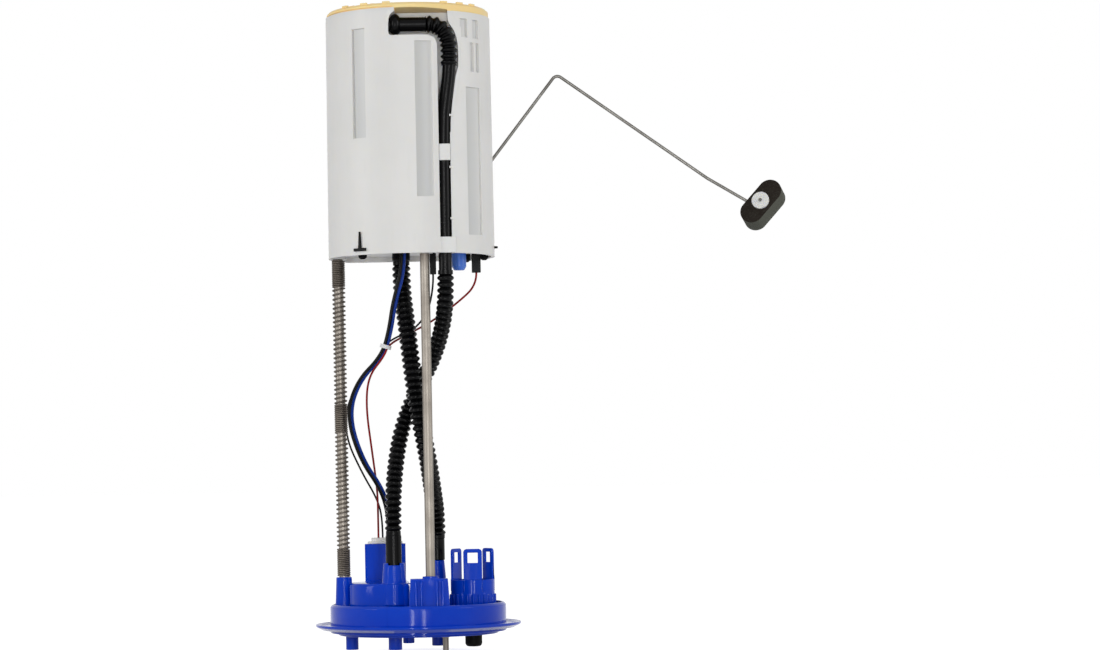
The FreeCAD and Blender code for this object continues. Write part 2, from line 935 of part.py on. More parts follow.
def make_spring():
    """The return spring: close coils at both ends and in the middle, open coils between them."""
    low = value_of(S["post_top"])
    high = value_of(S["shell_low"])
    close = value_of(S["spring_close_length"])
    wire = value_of(S["spring_wire"])
    radius = value_of(S["spring_radius"])
    turns = value_of(S["spring_open_turns"])
    middle = (low + high) / 2
    pieces = []
    for foot in (low, middle - close / 2, high - close):
        outer = Part.makeCylinder(radius + wire * 0.55, close, V(0, 0, foot))
        inner = Part.makeCylinder(radius - wire * 0.55, close, V(0, 0, foot))
        pieces.append(outer.cut(inner))
    for foot, head in ((low + close, middle - close / 2), (middle + close / 2, high - close)):
        overlap = wire * 0.4
        length = head - foot + 2 * overlap - wire
        helix = Part.makeHelix(length / turns, length, radius)
        half = wire / 2
        corners = [(-half, -half), (half, -half), (half, half), (-half, half), (-half, -half)]
        section = Part.makePolygon([V(radius + x, 0, z) for x, z in corners])
        coil = Part.Wire(helix.Edges).makePipeShell([section], True, True)
        coil.translate(V(0, 0, foot - overlap + half))
        pieces.append(coil)
    spring = pieces[0].fuse(pieces[1:])
    return loose("spring", spring, (S["rod_left_x"], 0, 0))


def loose(label, shape, place=(0, 0, 0)):
    """A piece whose shape comes from curves and sweeps."""
    thing = doc.addObject("Part::Feature", label)
    thing.Label = label
    thing.Shape = shape
    for axis, size in zip("xyz", place):
        bind(thing, f"Placement.Base.{axis}", size)
    LOOSE.append(thing)
    return thing


def make_rod_parts():
    make_rod("guide_rod_left", S["rod_left_x"], 0, S["rod_seat"])
    make_rod("guide_rod_front", S["rod_front_x"], S["rod_front_y"], S["rod_seat"])
    make_spring()
    low = S["guide_top"] + S["stop_gap"]
    ring = ring_outline(S["rod_radius"], S["stop_radius"], low, low + S["stop_thickness"])
    turned("stop_ring", ring, (S["rod_front_x"], S["rod_front_y"], 0))


def make_connector():
    """The white plug of the inner harness and the four pins through the tower."""
    low = S["tower_top"]
    body = new_body("harness_plug", (S["tower_x"], S["tower_y"], 0))
    centre = (as_size(0), as_size(0))
    sketch = new_sketch(body, up=S["plug_floor"] + S["harness_gap"])
    gap = S["harness_gap"] * 2
    add_box(sketch, centre, S["socket_width"] - gap, S["socket_depth"] - gap)
    pad(body, sketch, low - S["plug_floor"])
    sketch = new_sketch(body, up=low)
    add_box(sketch, centre, S["harness_width"], S["harness_depth"])
    pad(body, sketch, S["harness_flange"])
    sketch = new_sketch(body, up=low + S["harness_flange"])
    step = S["harness_step"]
    add_box(sketch, centre, S["harness_width"] - step, S["harness_depth"] - step)
    pad(body, sketch, S["harness_height"])
    sketch = new_sketch(body, up=S["plug_floor"])
    for step in (-1.5, -0.5, 0.5, 1.5):
        add_circle(sketch, S["pin_radius"] + S["slide_fit"], (S["pin_pitch"] * step, as_size(0)))
    pocket(body, sketch, S["pin_high"] - S["plug_floor"] + gap, towards_normal=True)
    pins = new_body("connector_pins")
    sketch = new_sketch(pins, up=S["pin_low"])
    for place in pin_places():
        add_circle(sketch, S["pin_radius"], place)
    pad(pins, sketch, S["pin_high"] - S["pin_low"])


def make_outside_parts():
    """The steel line with its collar and the rubber boot on the vent nipple."""
    collar_low = -S["pilot_depth"] - S["line_collar"]
    place = (S["line_x"], S["line_y"], 0)
    floor = -S["floor_thickness"]
    outline = [
        (S["line_radius"] / 2, S["line_end"]),
        (S["line_radius"], S["line_end"]),
        (S["line_radius"], collar_low),
        (S["line_collar"], collar_low),
        (S["line_collar"], floor),
        (S["line_radius"], floor),
        (S["line_radius"], S["line_inside"]),
        (S["line_radius"] / 2, S["line_inside"]),
    ]
    turned("steel_line", outline, place)
    bore = S["vent_nipple"] + S["rod_fit"]
    end = S["boot_end"]
    bevel = S["boot_radius"] / 4
    outline = [
        (0, end),
        (S["boot_radius"] - bevel, end),
        (S["boot_radius"], end + bevel),
        (S["boot_radius"], floor),
        (bore, floor),
        (bore, end + S["cup_wall"]),
        (0, end + S["cup_wall"]),
    ]
    turned("vent_boot", outline, (CUP_X, S["cup_y"], 0))


# Reservoir


def shell_radius(height):
    """The outer radius of the slightly tapered shell at a height."""
    share = (value_of(height) - S["shell_low"].value) / (S["shell_high"] - S["shell_low"]).value
    return S["shell_radius_low"] + (SHELL_TOP_RADIUS - S["shell_radius_low"]) * share


def shell_wall(body):
    """The tapered wall with its flat back."""
    low = S["shell_low"]
    high = S["shell_high"]
    wall = S["shell_wall"]
    sketch = new_sketch(body, "XZ_Plane")
    add_outline(
        sketch,
        [
            (S["shell_radius_low"] - wall, low),
            (S["shell_radius_low"], low),
            (SHELL_TOP_RADIUS, high),
            (SHELL_TOP_RADIUS - wall, high),
        ],
    )
    spun(body, sketch)
    sketch = new_sketch(body, up=high)
    behind = (as_size(0), S["shell_flat"] + S["shell_radius_low"] / 2)
    add_box(sketch, behind, S["shell_radius_low"] * 2, S["shell_radius_low"])
    pocket(body, sketch, high - low)
    sketch = new_sketch(body, up=low)
    middle = (as_size(0), S["shell_flat"] - wall / 2)
    add_box(sketch, middle, S["shell_radius_low"] * 1.49, wall)
    pad(body, sketch, high - low)


def shell_fittings(body):
    """The guides of the rods, the wall behind the hose channel and the tray of the recess."""
    low = S["shell_low"]
    sketch = new_sketch(body, up=low)
    add_circle(sketch, GUIDE_RADIUS, (S["rod_left_x"], as_size(0)))
    pad(body, sketch, S["guide_top"] - low)
    sketch = new_sketch(body, up=low)
    add_circle(sketch, GUIDE_RADIUS, (S["rod_front_x"], S["rod_front_y"]))
    pad(body, sketch, S["guide_top"] - low)
    web = S["guide_wall"]
    reach = S["shell_radius_low"] + S["rod_left_x"]
    middle = S["rod_left_x"] - reach / 2
    sketch = new_sketch(body, up=low)
    add_box(sketch, (middle, as_size(0)), reach, web)
    pad(body, sketch, S["guide_top"] - low)
    reach = S["shell_radius_low"] + S["rod_front_y"]
    middle = S["rod_front_y"] - reach / 2
    sketch = new_sketch(body, up=low)
    add_box(sketch, (S["rod_front_x"], middle), web, reach)
    pad(body, sketch, S["guide_top"] - low)
    sketch = new_sketch(body, up=low)
    add_circle(sketch, CHANNEL_OUTER, (S["pipe_x"], CHANNEL_Y))
    pad(body, sketch, S["shell_high"] - low)
    wall = S["shell_wall"]
    sketch = new_sketch(body, "XZ_Plane", up=-RECESS_BACK - wall)
    add_outline(sketch, recess_outline(wall))
    pad(body, sketch, S["shell_radius_low"] + RECESS_BACK + wall)


def recess_outline(margin):
    """The stepped outline of the recess, which widens where the side hose bends out."""
    left = S["recess_left"] - margin
    right = S["recess_right"] + margin
    step = S["recess_step_x"] - margin
    low = S["recess_low"] - margin
    foot = S["recess_foot"] - margin
    waist = S["pipe_x"] + CHANNEL_OUTER + margin
    corner = S["recess_corner"]
    edge = corner * 0.3
    nook = S["recess_nook"]
    top = S["shell_high"]
    return [
        (left, low + nook),
        (left + nook * 0.3, low + nook * 0.3),
        (left + nook, low),
        (step - corner, low),
        (step - edge, low - edge),
        (step, low - corner),
        (step, foot),
        (waist, foot),
        (right, S["recess_waist"]),
        (right, S["recess_shoulder"]),
        (right - corner, top),
        (left, top),
    ]


def shell_cuts(body):
    """Trims what stands out of the wall, then opens the channel, the recess and the bores."""
    low = S["shell_low"]
    high = S["shell_high"]
    sketch = new_sketch(body, "XZ_Plane")
    add_outline(
        sketch,
        [
            (S["shell_radius_low"], low),
            (SHELL_CLEAR, low),
            (SHELL_CLEAR, high),
            (SHELL_TOP_RADIUS, high),
        ],
    )
    spun(body, sketch, "PartDesign::Groove")
    sketch = new_sketch(body, up=low)
    add_circle(sketch, S["channel_radius"], (S["pipe_x"], CHANNEL_Y))
    pocket(body, sketch, high - low, towards_normal=True)
    sketch = new_sketch(body, up=low)
    mouth = (S["pipe_x"] + S["channel_wall"] / 2, CHANNEL_Y - S["channel_radius"])
    add_box(sketch, mouth, S["channel_radius"] * 1.6, S["channel_radius"] * 2)
    pocket(body, sketch, high - low, towards_normal=True)
    sketch = new_sketch(body, "XZ_Plane", up=S["shell_radius_low"])
    add_outline(sketch, recess_outline(0))
    pocket(body, sketch, S["shell_radius_low"] + RECESS_BACK)
    bores = (
        (S["rod_left_x"], as_size(0), GUIDE_BORE),
        (S["rod_front_x"], S["rod_front_y"], GUIDE_BORE),
    )
    for x, y, radius in bores:
        sketch = new_sketch(body, up=low)
        add_circle(sketch, radius, (x, y))
        pocket(body, sketch, S["guide_top"] - low, towards_normal=True)
    hole_x = S["recess_left"]
    sketch = new_sketch(body, "YZ_Plane", up=hole_x)
    add_circle(sketch, S["elbow_radius"] + S["rod_fit"], (HOSE_Y, S["hose_z"]))
    pocket(body, sketch, S["shell_wall"])


def shell_slots(body):
    """The long shallow recesses and the windows in the outer face, each facing outwards."""
    # Turn from the front, lowest and highest point, width
    for turn, low, high, width in SLOTS:
        radius = shell_radius((low + high) / 2)
        sketch = new_sketch(body, "XZ_Plane", up=radius + 1, turn=turn)
        add_box(sketch, (as_size(0), as_size((low + high) / 2)), width, high - low)
        pocket(body, sketch, S["slot_depth"] + 1)


SLOTS = (
    (-36.7, 327.4, 400.5, 10.6),
    (10.3, 287.0, 390.5, 11.6),
    (42.2, 394.0, 406.5, 6.6),
    (54.5, 394.0, 406.5, 6.6),
    (49.8, 371.5, 391.0, 4.0),
    (56.5, 371.5, 391.0, 3.4),
    (50.5, 262.0, 361.0, 14.6),
)


def make_shell():
    body = new_body("reservoir_shell")
    shell_wall(body)
    shell_fittings(body)
    shell_cuts(body)
    shell_slots(body)
    sketch = new_sketch(body, up=S["shell_low"])
    front = CHANNEL_Y - S["pipe_radius"] - S["band_thickness"] / 2 - S["slide_fit"]
    add_box(sketch, (S["pipe_x"], front), S["channel_radius"] * 3, S["band_thickness"])
    pad(body, sketch, S["band_height"])
    return body


# Where the cap's tabs stand, turned from the front, clear of the recess
TAB_TURNS = (-105.0, -48.0, 62.0, 105.0)


def make_cap():
    """The end cap: a bevelled plate with small feet, four snap tabs and the inlet."""
    body = new_body("end_cap")
    sketch = new_sketch(body, "XZ_Plane")
    edge = S["cap_thickness"] / 4
    radius = SHELL_TOP_RADIUS - S["cap_inset"]
    add_outline(
        sketch,
        [
            (0, S["shell_high"]),
            (radius, S["shell_high"]),
            (radius, CAP_TOP - edge),
            (radius - edge, CAP_TOP),
            (S["inlet_radius"], CAP_TOP),
            (S["inlet_radius"], CAP_TOP - edge),
            (0, CAP_TOP - edge),
        ],
    )
    spun(body, sketch)
    tab_back = SHELL_TOP_RADIUS - S["shell_wall"] * 2 - S["carrier_gap"] * 3
    for turn in TAB_TURNS:
        sketch = new_sketch(body, "XZ_Plane", up=tab_back, turn=turn)
        add_box(sketch, (as_size(0), S["shell_high"]), S["tab_width"], S["tab_height"] * 2)
        pad(body, sketch, S["shell_wall"])
    sketch = new_sketch(body, up=CAP_TOP)
    add_circle(sketch, S["foot_radius"], (S["foot_circle"] * 0.5, -S["foot_circle"] * 0.85))
    foot = pad(body, sketch, S["foot_height"])
    round_pattern(body, foot, 6)
    sketch = new_sketch(body, up=CAP_TOP)
    add_circle(sketch, S["inlet_slot"] / 2, (S["inlet_radius"] / 2, as_size(0)))
    hole = pocket(body, sketch, S["cap_thickness"])
    round_pattern(body, hole, 6)
    sketch = new_sketch(body, up=CAP_TOP)
    add_circle(sketch, S["valve_stem"] + S["rod_fit"])
    pocket(body, sketch, S["cap_thickness"])
    sketch = new_sketch(body, up=CAP_TOP + S["foot_height"])
    behind = (as_size(0), S["shell_flat"] + S["shell_radius_low"] / 2)
    add_box(sketch, behind, S["shell_radius_low"] * 2, S["shell_radius_low"])
    pocket(body, sketch, S["cap_thickness"] + S["tab_height"] + S["foot_height"] * 2)
    return body


# Carrier plate and what it holds


def make_carrier():
    """The plate across the open end, with the ring and legs that hold the pump."""
    body = new_body("carrier")
    low = S["carrier_low"]
    gap = S["carrier_gap"]
    radius = CARRIER_RADIUS
    sketch = new_sketch(body, up=low)
    add_circle(sketch, radius)
    pad(body, sketch, S["carrier_thickness"])
    cut_high = CARRIER_TOP + 1
    depth = S["carrier_thickness"] + 2
    back = S["shell_flat"] - S["shell_wall"] - gap
    sketch = new_sketch(body, up=cut_high)
    add_box(sketch, (as_size(0), back + radius / 2), radius * 2, radius)
    pocket(body, sketch, depth)
    guide = GUIDE_RADIUS + gap
    notches = (
        (S["rod_left_x"], as_size(0), guide, -1, 0),
        (S["rod_front_x"], S["rod_front_y"], guide, 0, -1),
        (S["pipe_x"], CHANNEL_Y, CHANNEL_OUTER + gap, 0, -1),
    )
    for x, y, reach, out_x, out_y in notches:
        sketch = new_sketch(body, up=cut_high)
        add_circle(sketch, reach, (x, y))
        pocket(body, sketch, depth)
        sketch = new_sketch(body, up=cut_high)
        add_box(sketch, (x + reach * out_x, y + reach * out_y), reach * 2, reach * 2)
        pocket(body, sketch, depth)
    middle = ((S["rod_front_x"] + S["pipe_x"]) / 2, S["rod_front_y"] - guide / 2)
    sketch = new_sketch(body, up=cut_high)
    add_box(sketch, middle, S["pipe_x"] - S["rod_front_x"], guide * 2)
    pocket(body, sketch, depth)
    holes = (
        (S["pump_x"], S["pump_y"] + S["outlet_offset"], S["pump_cuff_radius"] + gap),
        (S["lead_plug_x"], S["lead_plug_y"], S["thick_wire_radius"] * 3),
        (S["relief_x"], S["relief_y"], S["relief_radius"] * 0.7 + S["rod_fit"]),
    )
    for x, y, reach in holes:
        add_bore(body, x, y, reach, cut_high, depth)
    inner = S["pump_radius"] + S["sleeve_thickness"]
    sketch = new_sketch(body, up=S["holder_low"])
    centre = (S["pump_x"], S["pump_y"])
    add_circle(sketch, inner + S["holder_wall"], centre)
    add_circle(sketch, inner, centre)
    pad(body, sketch, S["sleeve_high"] - S["holder_low"])
    leg_circle = inner + S["holder_wall"] / 2
    for angle in (90, 210, 330):
        x = S["pump_x"] + leg_circle * math.cos(math.radians(angle))
        y = S["pump_y"] + leg_circle * math.sin(math.radians(angle))
        add_post(body, x, y, S["holder_wall"] * 0.4, CARRIER_TOP - 1, S["holder_low"] + 1)


def make_plugs():
    """The connectors, the relief valve and the rubber bumpers on the carrier."""
    width = S["pump_cuff_radius"]
    low = S["sender_plug_low"]
    place = (S["sender_plug_x"], S["sender_plug_y"], low)
    block("sender_connector", width, width, S["carrier_low"] - low, place)
    low = S["pump_plug_low"]
    place = (S["pump_plug_x"], S["pump_plug_y"], low)
    block("pump_connector", width * 0.7, width * 0.7, S["carrier_low"] - low, place)
    place = (S["lead_plug_x"], S["lead_plug_y"], CARRIER_TOP)
    block("lead_connector", width * 1.5, width, S["lead_plug_height"], place)
    low = S["relief_low"]
    radius = S["relief_radius"]
    neck = radius * 0.7
    outline = [
        (0, low),
        (neck, low),
        (radius, low + radius / 2),
        (radius, S["carrier_low"]),
        (neck, S["carrier_low"]),
        (neck, CARRIER_TOP + neck),
        (0, CARRIER_TOP + neck),
    ]
    turned("relief_valve", outline, (S["relief_x"], S["relief_y"], 0))
    bumpers = new_body("rubber_bumpers")
    low = S["carrier_low"] - S["bumper_height"]
    sketch = new_sketch(bumpers, up=low)
    for turn, inset in BUMPERS:
        reach = CARRIER_RADIUS - S["bumper_radius"] - inset
        across = math.sin(math.radians(turn))
        along = math.cos(math.radians(turn))
        add_circle(sketch, S["bumper_radius"], (reach * across, reach * -along))
    pad(bumpers, sketch, S["bumper_height"])
    soften(bumpers, S["bumper_radius"] / 2, flat_edge_at(value_of(low)), "PartDesign::Chamfer")


# The rubber bumpers: turn from the front, and how far they stand in from the carrier's edge
BUMPERS = (
    (94.6, 1.2),
    (120.4, 7.3),
    (-49.7, 7.5),
)


# Electric pump


def make_pump_case():
    """The steel can, its two end caps and the casing plate beside the impeller."""
    place = (S["pump_x"], S["pump_y"], 0)
    inner = S["pump_radius"] - S["pump_wall"]
    low = S["pump_low"]
    high = S["pump_high"]
    turned("pump_can", ring_outline(inner, S["pump_radius"], low, high), place)
    plug = inner - S["rod_fit"]
    bore = S["shaft_radius"] + S["shaft_fit"]
    lid = S["pump_radius"] - S["pump_wall"] / 2
    boss = bore * 2.5
    body = turned(
        "pump_outlet_cap",
        [
            (0, low - S["lid_thickness"]),
            (lid, low - S["lid_thickness"]),
            (lid, low),
            (plug, low),
            (plug, low + 6),
            (boss, low + 6),
            (boss, low + 12),
            (bore, low + 12),
            (bore, low + 3),
            (0, low + 3),
        ],
        place,
    )
    top = low - S["lid_thickness"]
    y = S["outlet_offset"]
    add_post(body, as_size(0), y, S["nozzle_radius"], S["outlet_low"], top + 1)
    length = top + 1 - S["outlet_low"]
    sketch = new_sketch(body, up=S["outlet_low"])
    add_circle(sketch, S["nozzle_bore"], (as_size(0), y))
    pocket(body, sketch, length, towards_normal=True)
    wheel_low = IMPELLER_LOW
    plate_high = wheel_low - S["impeller_gap"]
    plate_low = plate_high - S["casing_thickness"]
    turned("pump_casing", ring_outline(bore, plug, plate_low, plate_high), place)
    face = wheel_low + S["impeller_thickness"] + S["impeller_gap"]
    turned(
        "pump_inlet_cap",
        [
            (0, face + 8),
            (bore, face + 8),
            (bore, face),
            (plug, face),
            (plug, high),
            (lid, high),
            (lid, high + S["lid_thickness"]),
            (S["cuff_radius"], high + S["lid_thickness"] + 2),
            (S["cuff_radius"], S["strainer_low"]),
            (0, S["strainer_low"]),
        ],
        place,
    )


def make_pump_rotor():
    """The armature with its shaft and commutator, the magnets round it and the impeller."""
    place = (S["pump_x"], S["pump_y"], 0)
    shaft = S["shaft_radius"]
    top = IMPELLER_LOW + S["impeller_thickness"] + 5
    turned(
        "armature",
        [
            (0, S["pump_low"] + 4),
            (shaft, S["pump_low"] + 4),
            (shaft, S["core_low"] - 5),
            (shaft * 3.4, S["core_low"] - 5),
            (shaft * 3.4, S["core_low"]),
            (S["core_radius"], S["core_low"]),
            (S["core_radius"], S["core_high"]),
            (shaft, S["core_high"]),
            (shaft, top),
            (0, top),
        ],
        place,
    )
    body = new_body("impeller", place)
    sketch = new_sketch(body, up=IMPELLER_LOW)
    add_circle(sketch, S["impeller_radius"])
    add_circle(sketch, shaft + S["rod_fit"])
    pad(body, sketch, S["impeller_thickness"])
    sketch = new_sketch(body, up=IMPELLER_LOW)
    add_box(sketch, (S["impeller_radius"], as_size(0)), S["impeller_thickness"] * 2, shaft)
    cut = pocket(body, sketch, S["impeller_thickness"], towards_normal=True)
    round_pattern(body, cut, S["blade_count"])
    outer = S["pump_radius"] - S["pump_wall"] - S["rod_fit"]
    low = S["core_low"] - 2
    high = S["core_high"] + 2
    magnets = turned("magnets", ring_outline(S["magnet_inner"], outer, low, high), place)
    sketch = new_sketch(magnets, up=low)
    add_box(sketch, (as_size(0), as_size(0)), outer * 3, shaft * 4)
    pocket(magnets, sketch, high - low, towards_normal=True)


def make_pump_mounts():
    """The rubber sleeve, the strainer, the jet pump and the inlet valve under the cap."""
    place = (S["pump_x"], S["pump_y"], 0)
    inner = S["pump_radius"] + S["rod_fit"]
    outer = S["pump_radius"] + S["sleeve_thickness"] - S["rod_fit"]
    sleeve = ring_outline(inner, outer, S["sleeve_low"], S["sleeve_high"])
    turned("pump_sleeve", sleeve, place)
    low = S["strainer_low"]
    high = S["strainer_high"]
    edge = (high - low) / 4
    radius = S["strainer_radius"]
    outline = [
        (0, low),
        (radius - edge, low),
        (radius, low + edge),
        (radius, high - edge),
        (radius - edge, high),
        (0, high),
    ]
    turned("strainer", outline, place)
    body = new_body("jet_pump")
    sketch = new_sketch(body, up=S["strainer_low"])
    add_circle(sketch, S["nozzle_radius"], (S["jet_x"], HOSE_Y + S["jet_offset"]))
    pad(body, sketch, S["shell_high"] - S["strainer_low"])
    wall_x = S["recess_left"] - S["shell_wall"]
    sketch = new_sketch(body, "YZ_Plane", up=S["jet_x"])
    add_circle(sketch, S["nozzle_bore"] * 0.8, (HOSE_Y + 1, S["hose_z"]))
    pad(body, sketch, wall_x - S["jet_x"])
    stem_top = CAP_TOP - S["rod_fit"]
    under = S["shell_high"]
    outline = [
        (0, under - 1.2),
        (S["valve_radius"], under - 0.8),
        (S["valve_radius"], under),
        (S["valve_stem"], under),
        (S["valve_stem"], stem_top),
        (0, stem_top),
    ]
    turned("inlet_valve", outline)


# Side hose, its fixings and the hose ends


def make_fixings():
    """The grommet, the clip over the pipe and the black clip at the foot of the shell."""
    bore = S["elbow_radius"] + S["rod_fit"]
    radius = S["grommet_radius"]
    length = S["grommet_length"]
    outline = [
        (bore, 0),
        (radius * 0.8, 0),
        (radius * 0.93, length * 0.15),
        (radius, length * 0.45),
        (radius * 0.93, length * 0.75),
        (radius * 0.76, length),
        (bore, length),
    ]
    grommet = turned("hose_grommet", outline, (S["recess_left"], HOSE_Y, S["hose_z"]))
    grommet.Placement.Rotation = FreeCAD.Rotation(V(0, 1, 0), 90)
    front = CHANNEL_Y - S["pipe_radius"] - S["slide_fit"] - S["band_thickness"] / 2
    place = (S["pipe_x"] + S["channel_wall"] / 2, front, S["clip_low"])
    width = S["channel_radius"] * 1.6 - S["carrier_gap"]
    block("pipe_clip", width, S["band_thickness"], S["clip_height"], place)
    body = new_body("foot_clip")
    sketch = new_sketch(body, "XZ_Plane", up=S["shell_radius_low"] + S["rod_fit"], turn=-37.0)
    foot = S["shell_low"] + S["foot_clip_low"]
    side = S["foot_clip_width"] / 2
    bar = foot + S["foot_clip_bar"]
    head = foot + S["foot_clip_height"]
    stem = side * 0.22
    tip = stem * 0.4
    add_outline(
        sketch,
        [
            (-side, foot),
            (side, foot),
            (side, bar),
            (stem, bar),
            (tip, head),
            (-tip, head),
            (-stem, bar),
            (-side, bar),
        ],
    )
    pad(body, sketch, S["band_thickness"])


def make_cuffs():
    """The smooth rubber ends of the hoses on their nozzles."""
    bore = S["nozzle_radius"] + S["rod_fit"]
    low = S["shroud_top"] - S["shroud_lip"] + S["harness_gap"]
    cuff = ring_outline(bore, S["cuff_radius"], low, as_size(HOSE_B_ROUTE[-1][2]))
    turned("return_cuff", cuff, (S["return_x"], S["return_y"], 0))
    cuff = ring_outline(bore, S["cuff_radius"], S["supply_cone_top"], as_size(HOSE_A_ROUTE[-1][2]))
    turned("supply_cuff", cuff, (S["supply_x"], S["supply_y"], 0))
    cuff = ring_outline(bore, S["pump_cuff_radius"], S["pump_cuff_low"], S["pump_cuff_high"])
    turned("pump_cuff", cuff, (S["pump_x"], S["pump_y"] + S["outlet_offset"], 0))


def rounded_path(points, radii=None):
    """Straight runs joined by arcs: as large as the runs allow, or of the given radii."""
    spots = [V(*point) for point in points]
    edges = []
    start = spots[0]
    for index in range(1, len(spots) - 1):
        before = spots[index - 1] - spots[index]
        after = spots[index + 1] - spots[index]
        half_turn = (math.pi - before.getAngle(after)) / 2
        shorter = min(before.Length, after.Length)
        radius = 0.45 * shorter / math.tan(half_turn)
        if radii:
            radius = radii[index - 1]
        reach = radius * math.tan(half_turn)
        before.normalize()
        after.normalize()
        entry = spots[index] + before * reach
        leave = spots[index] + after * reach
        inwards = (before + after).normalize()
        middle = spots[index] + inwards * (radius / math.cos(half_turn) - radius)
        edges.append(Part.LineSegment(start, entry).toShape())
        edges.append(Part.Arc(entry, middle, leave).toShape())
        start = leave
        print(f"  radius {radius:.1f}")
    edges.append(Part.LineSegment(start, spots[-1]).toShape())
    return Part.Wire(edges)


def make_tube(label, points, radius, radii=None):
    """A round tube or wire along its path; its volume is held against section times length."""
    path = rounded_path(points, radii)
    first = V(*points[0])
    along = V(*points[1]) - first
    section = Part.Wire([Part.Circle(first, along, value_of(radius)).toShape()])
    tube = path.makePipeShell([section], True, False)
    expected = math.pi * value_of(radius) ** 2 * path.Length
    print(f"{label} length {path.Length:.0f}, volume share {tube.Volume / expected:.4f}")
    return loose(label, tube)


def shifted(points, x, y):
    return [(point[0] + x, point[1] + y, point[2]) for point in points]


def make_hoses():
    make_tube("hose_a", HOSE_A_ROUTE, S["hose_a_radius"])
    make_tube("hose_b", HOSE_B_ROUTE, S["hose_b_radius"])
    make_tube("side_bend", SIDE_BEND_ROUTE, S["bend_radius"])
    make_tube("side_pipe", SIDE_PIPE_ROUTE, S["pipe_radius"])
    wall_x = S["recess_left"] - S["shell_wall"]
    body = new_body("side_elbow", (wall_x, HOSE_Y, S["hose_z"]))
    sketch = new_sketch(body, "YZ_Plane")
    add_circle(sketch, S["elbow_radius"])
    pad(body, sketch, SIDE_BEND_ROUTE[0][0] - wall_x)


def make_wires():
    """The thick pair and the two thin wires, and the tie that gathers them."""
    make_tube("wire_blue", shifted(WIRE_PAIR_ROUTE, 1.0, 1.05), S["thick_wire_radius"])
    make_tube("wire_black", shifted(WIRE_PAIR_ROUTE, -1.0, -1.05), S["thick_wire_radius"])
    make_tube("wire_red", RED_WIRE_ROUTE, S["thin_wire_radius"])
    make_tube("wire_thin_black", THIN_WIRE_ROUTE, S["thin_wire_radius"])
    outer = value_of(S["tie_radius"])
    inner = outer - value_of(S["tie_wall"])
    width = value_of(S["tie_width"])
    band = Part.makeCylinder(outer, width).cut(Part.makeCylinder(inner, width))
    band.translate(V(0, 0, -width / 2))
    tie = loose("cable_tie", band, TIE_PLACE)
    tie.Placement.Rotation = FreeCAD.Rotation(V(0, 0, 1), TIE_ALONG)


# Level sender


def make_sender_frame():
    """The bracket on the flat back of the shell, with the bearing of the arm, and its card."""
    body = new_body("sender_frame", (S["pivot_x"], 0, S["pivot_z"]))
    back = S["shell_flat"] + S["frame_thickness"]
    boss = S["arm_radius"] * 3
    sketch = new_sketch(body, "XZ_Plane", up=-back)
    rise = S["frame_height"] / 5
    add_box(sketch, (as_size(0), rise), S["frame_width"], S["frame_height"])
    pad(body, sketch, S["frame_thickness"])
    for side in (-1, 1):
        sketch = new_sketch(body, "XZ_Plane", up=-back - S["frame_thickness"] / 2)
        edge = (S["frame_width"] / 2 - 0.75) * side
        add_box(sketch, (edge, rise * 2.7), as_size(1.5), S["frame_height"] / 3)
        pad(body, sketch, S["frame_thickness"])
    sketch = new_sketch(body, "XZ_Plane", up=-HUB_FRONT + S["hub_gap"])
    add_circle(sketch, boss)
    pad(body, sketch, HUB_FRONT - S["hub_gap"] - S["shell_flat"])
    sketch = new_sketch(body, "XZ_Plane", up=-HUB_FRONT)
    add_circle(sketch, S["arm_radius"] + S["arm_fit"])
    pocket(body, sketch, HUB_FRONT - S["shell_flat"], towards_normal=True)
    card = new_body("resistor_card", (S["pivot_x"], 0, S["pivot_z"]))
    sketch = new_sketch(card, "XZ_Plane", up=-back - S["card_thickness"])
    add_box(sketch, (as_size(-4.9), as_size(9.0)), as_size(11), as_size(11))
    pad(card, sketch, S["card_thickness"])


HUB_FRONT = S["shell_flat"] + S["frame_thickness"] + 1.5


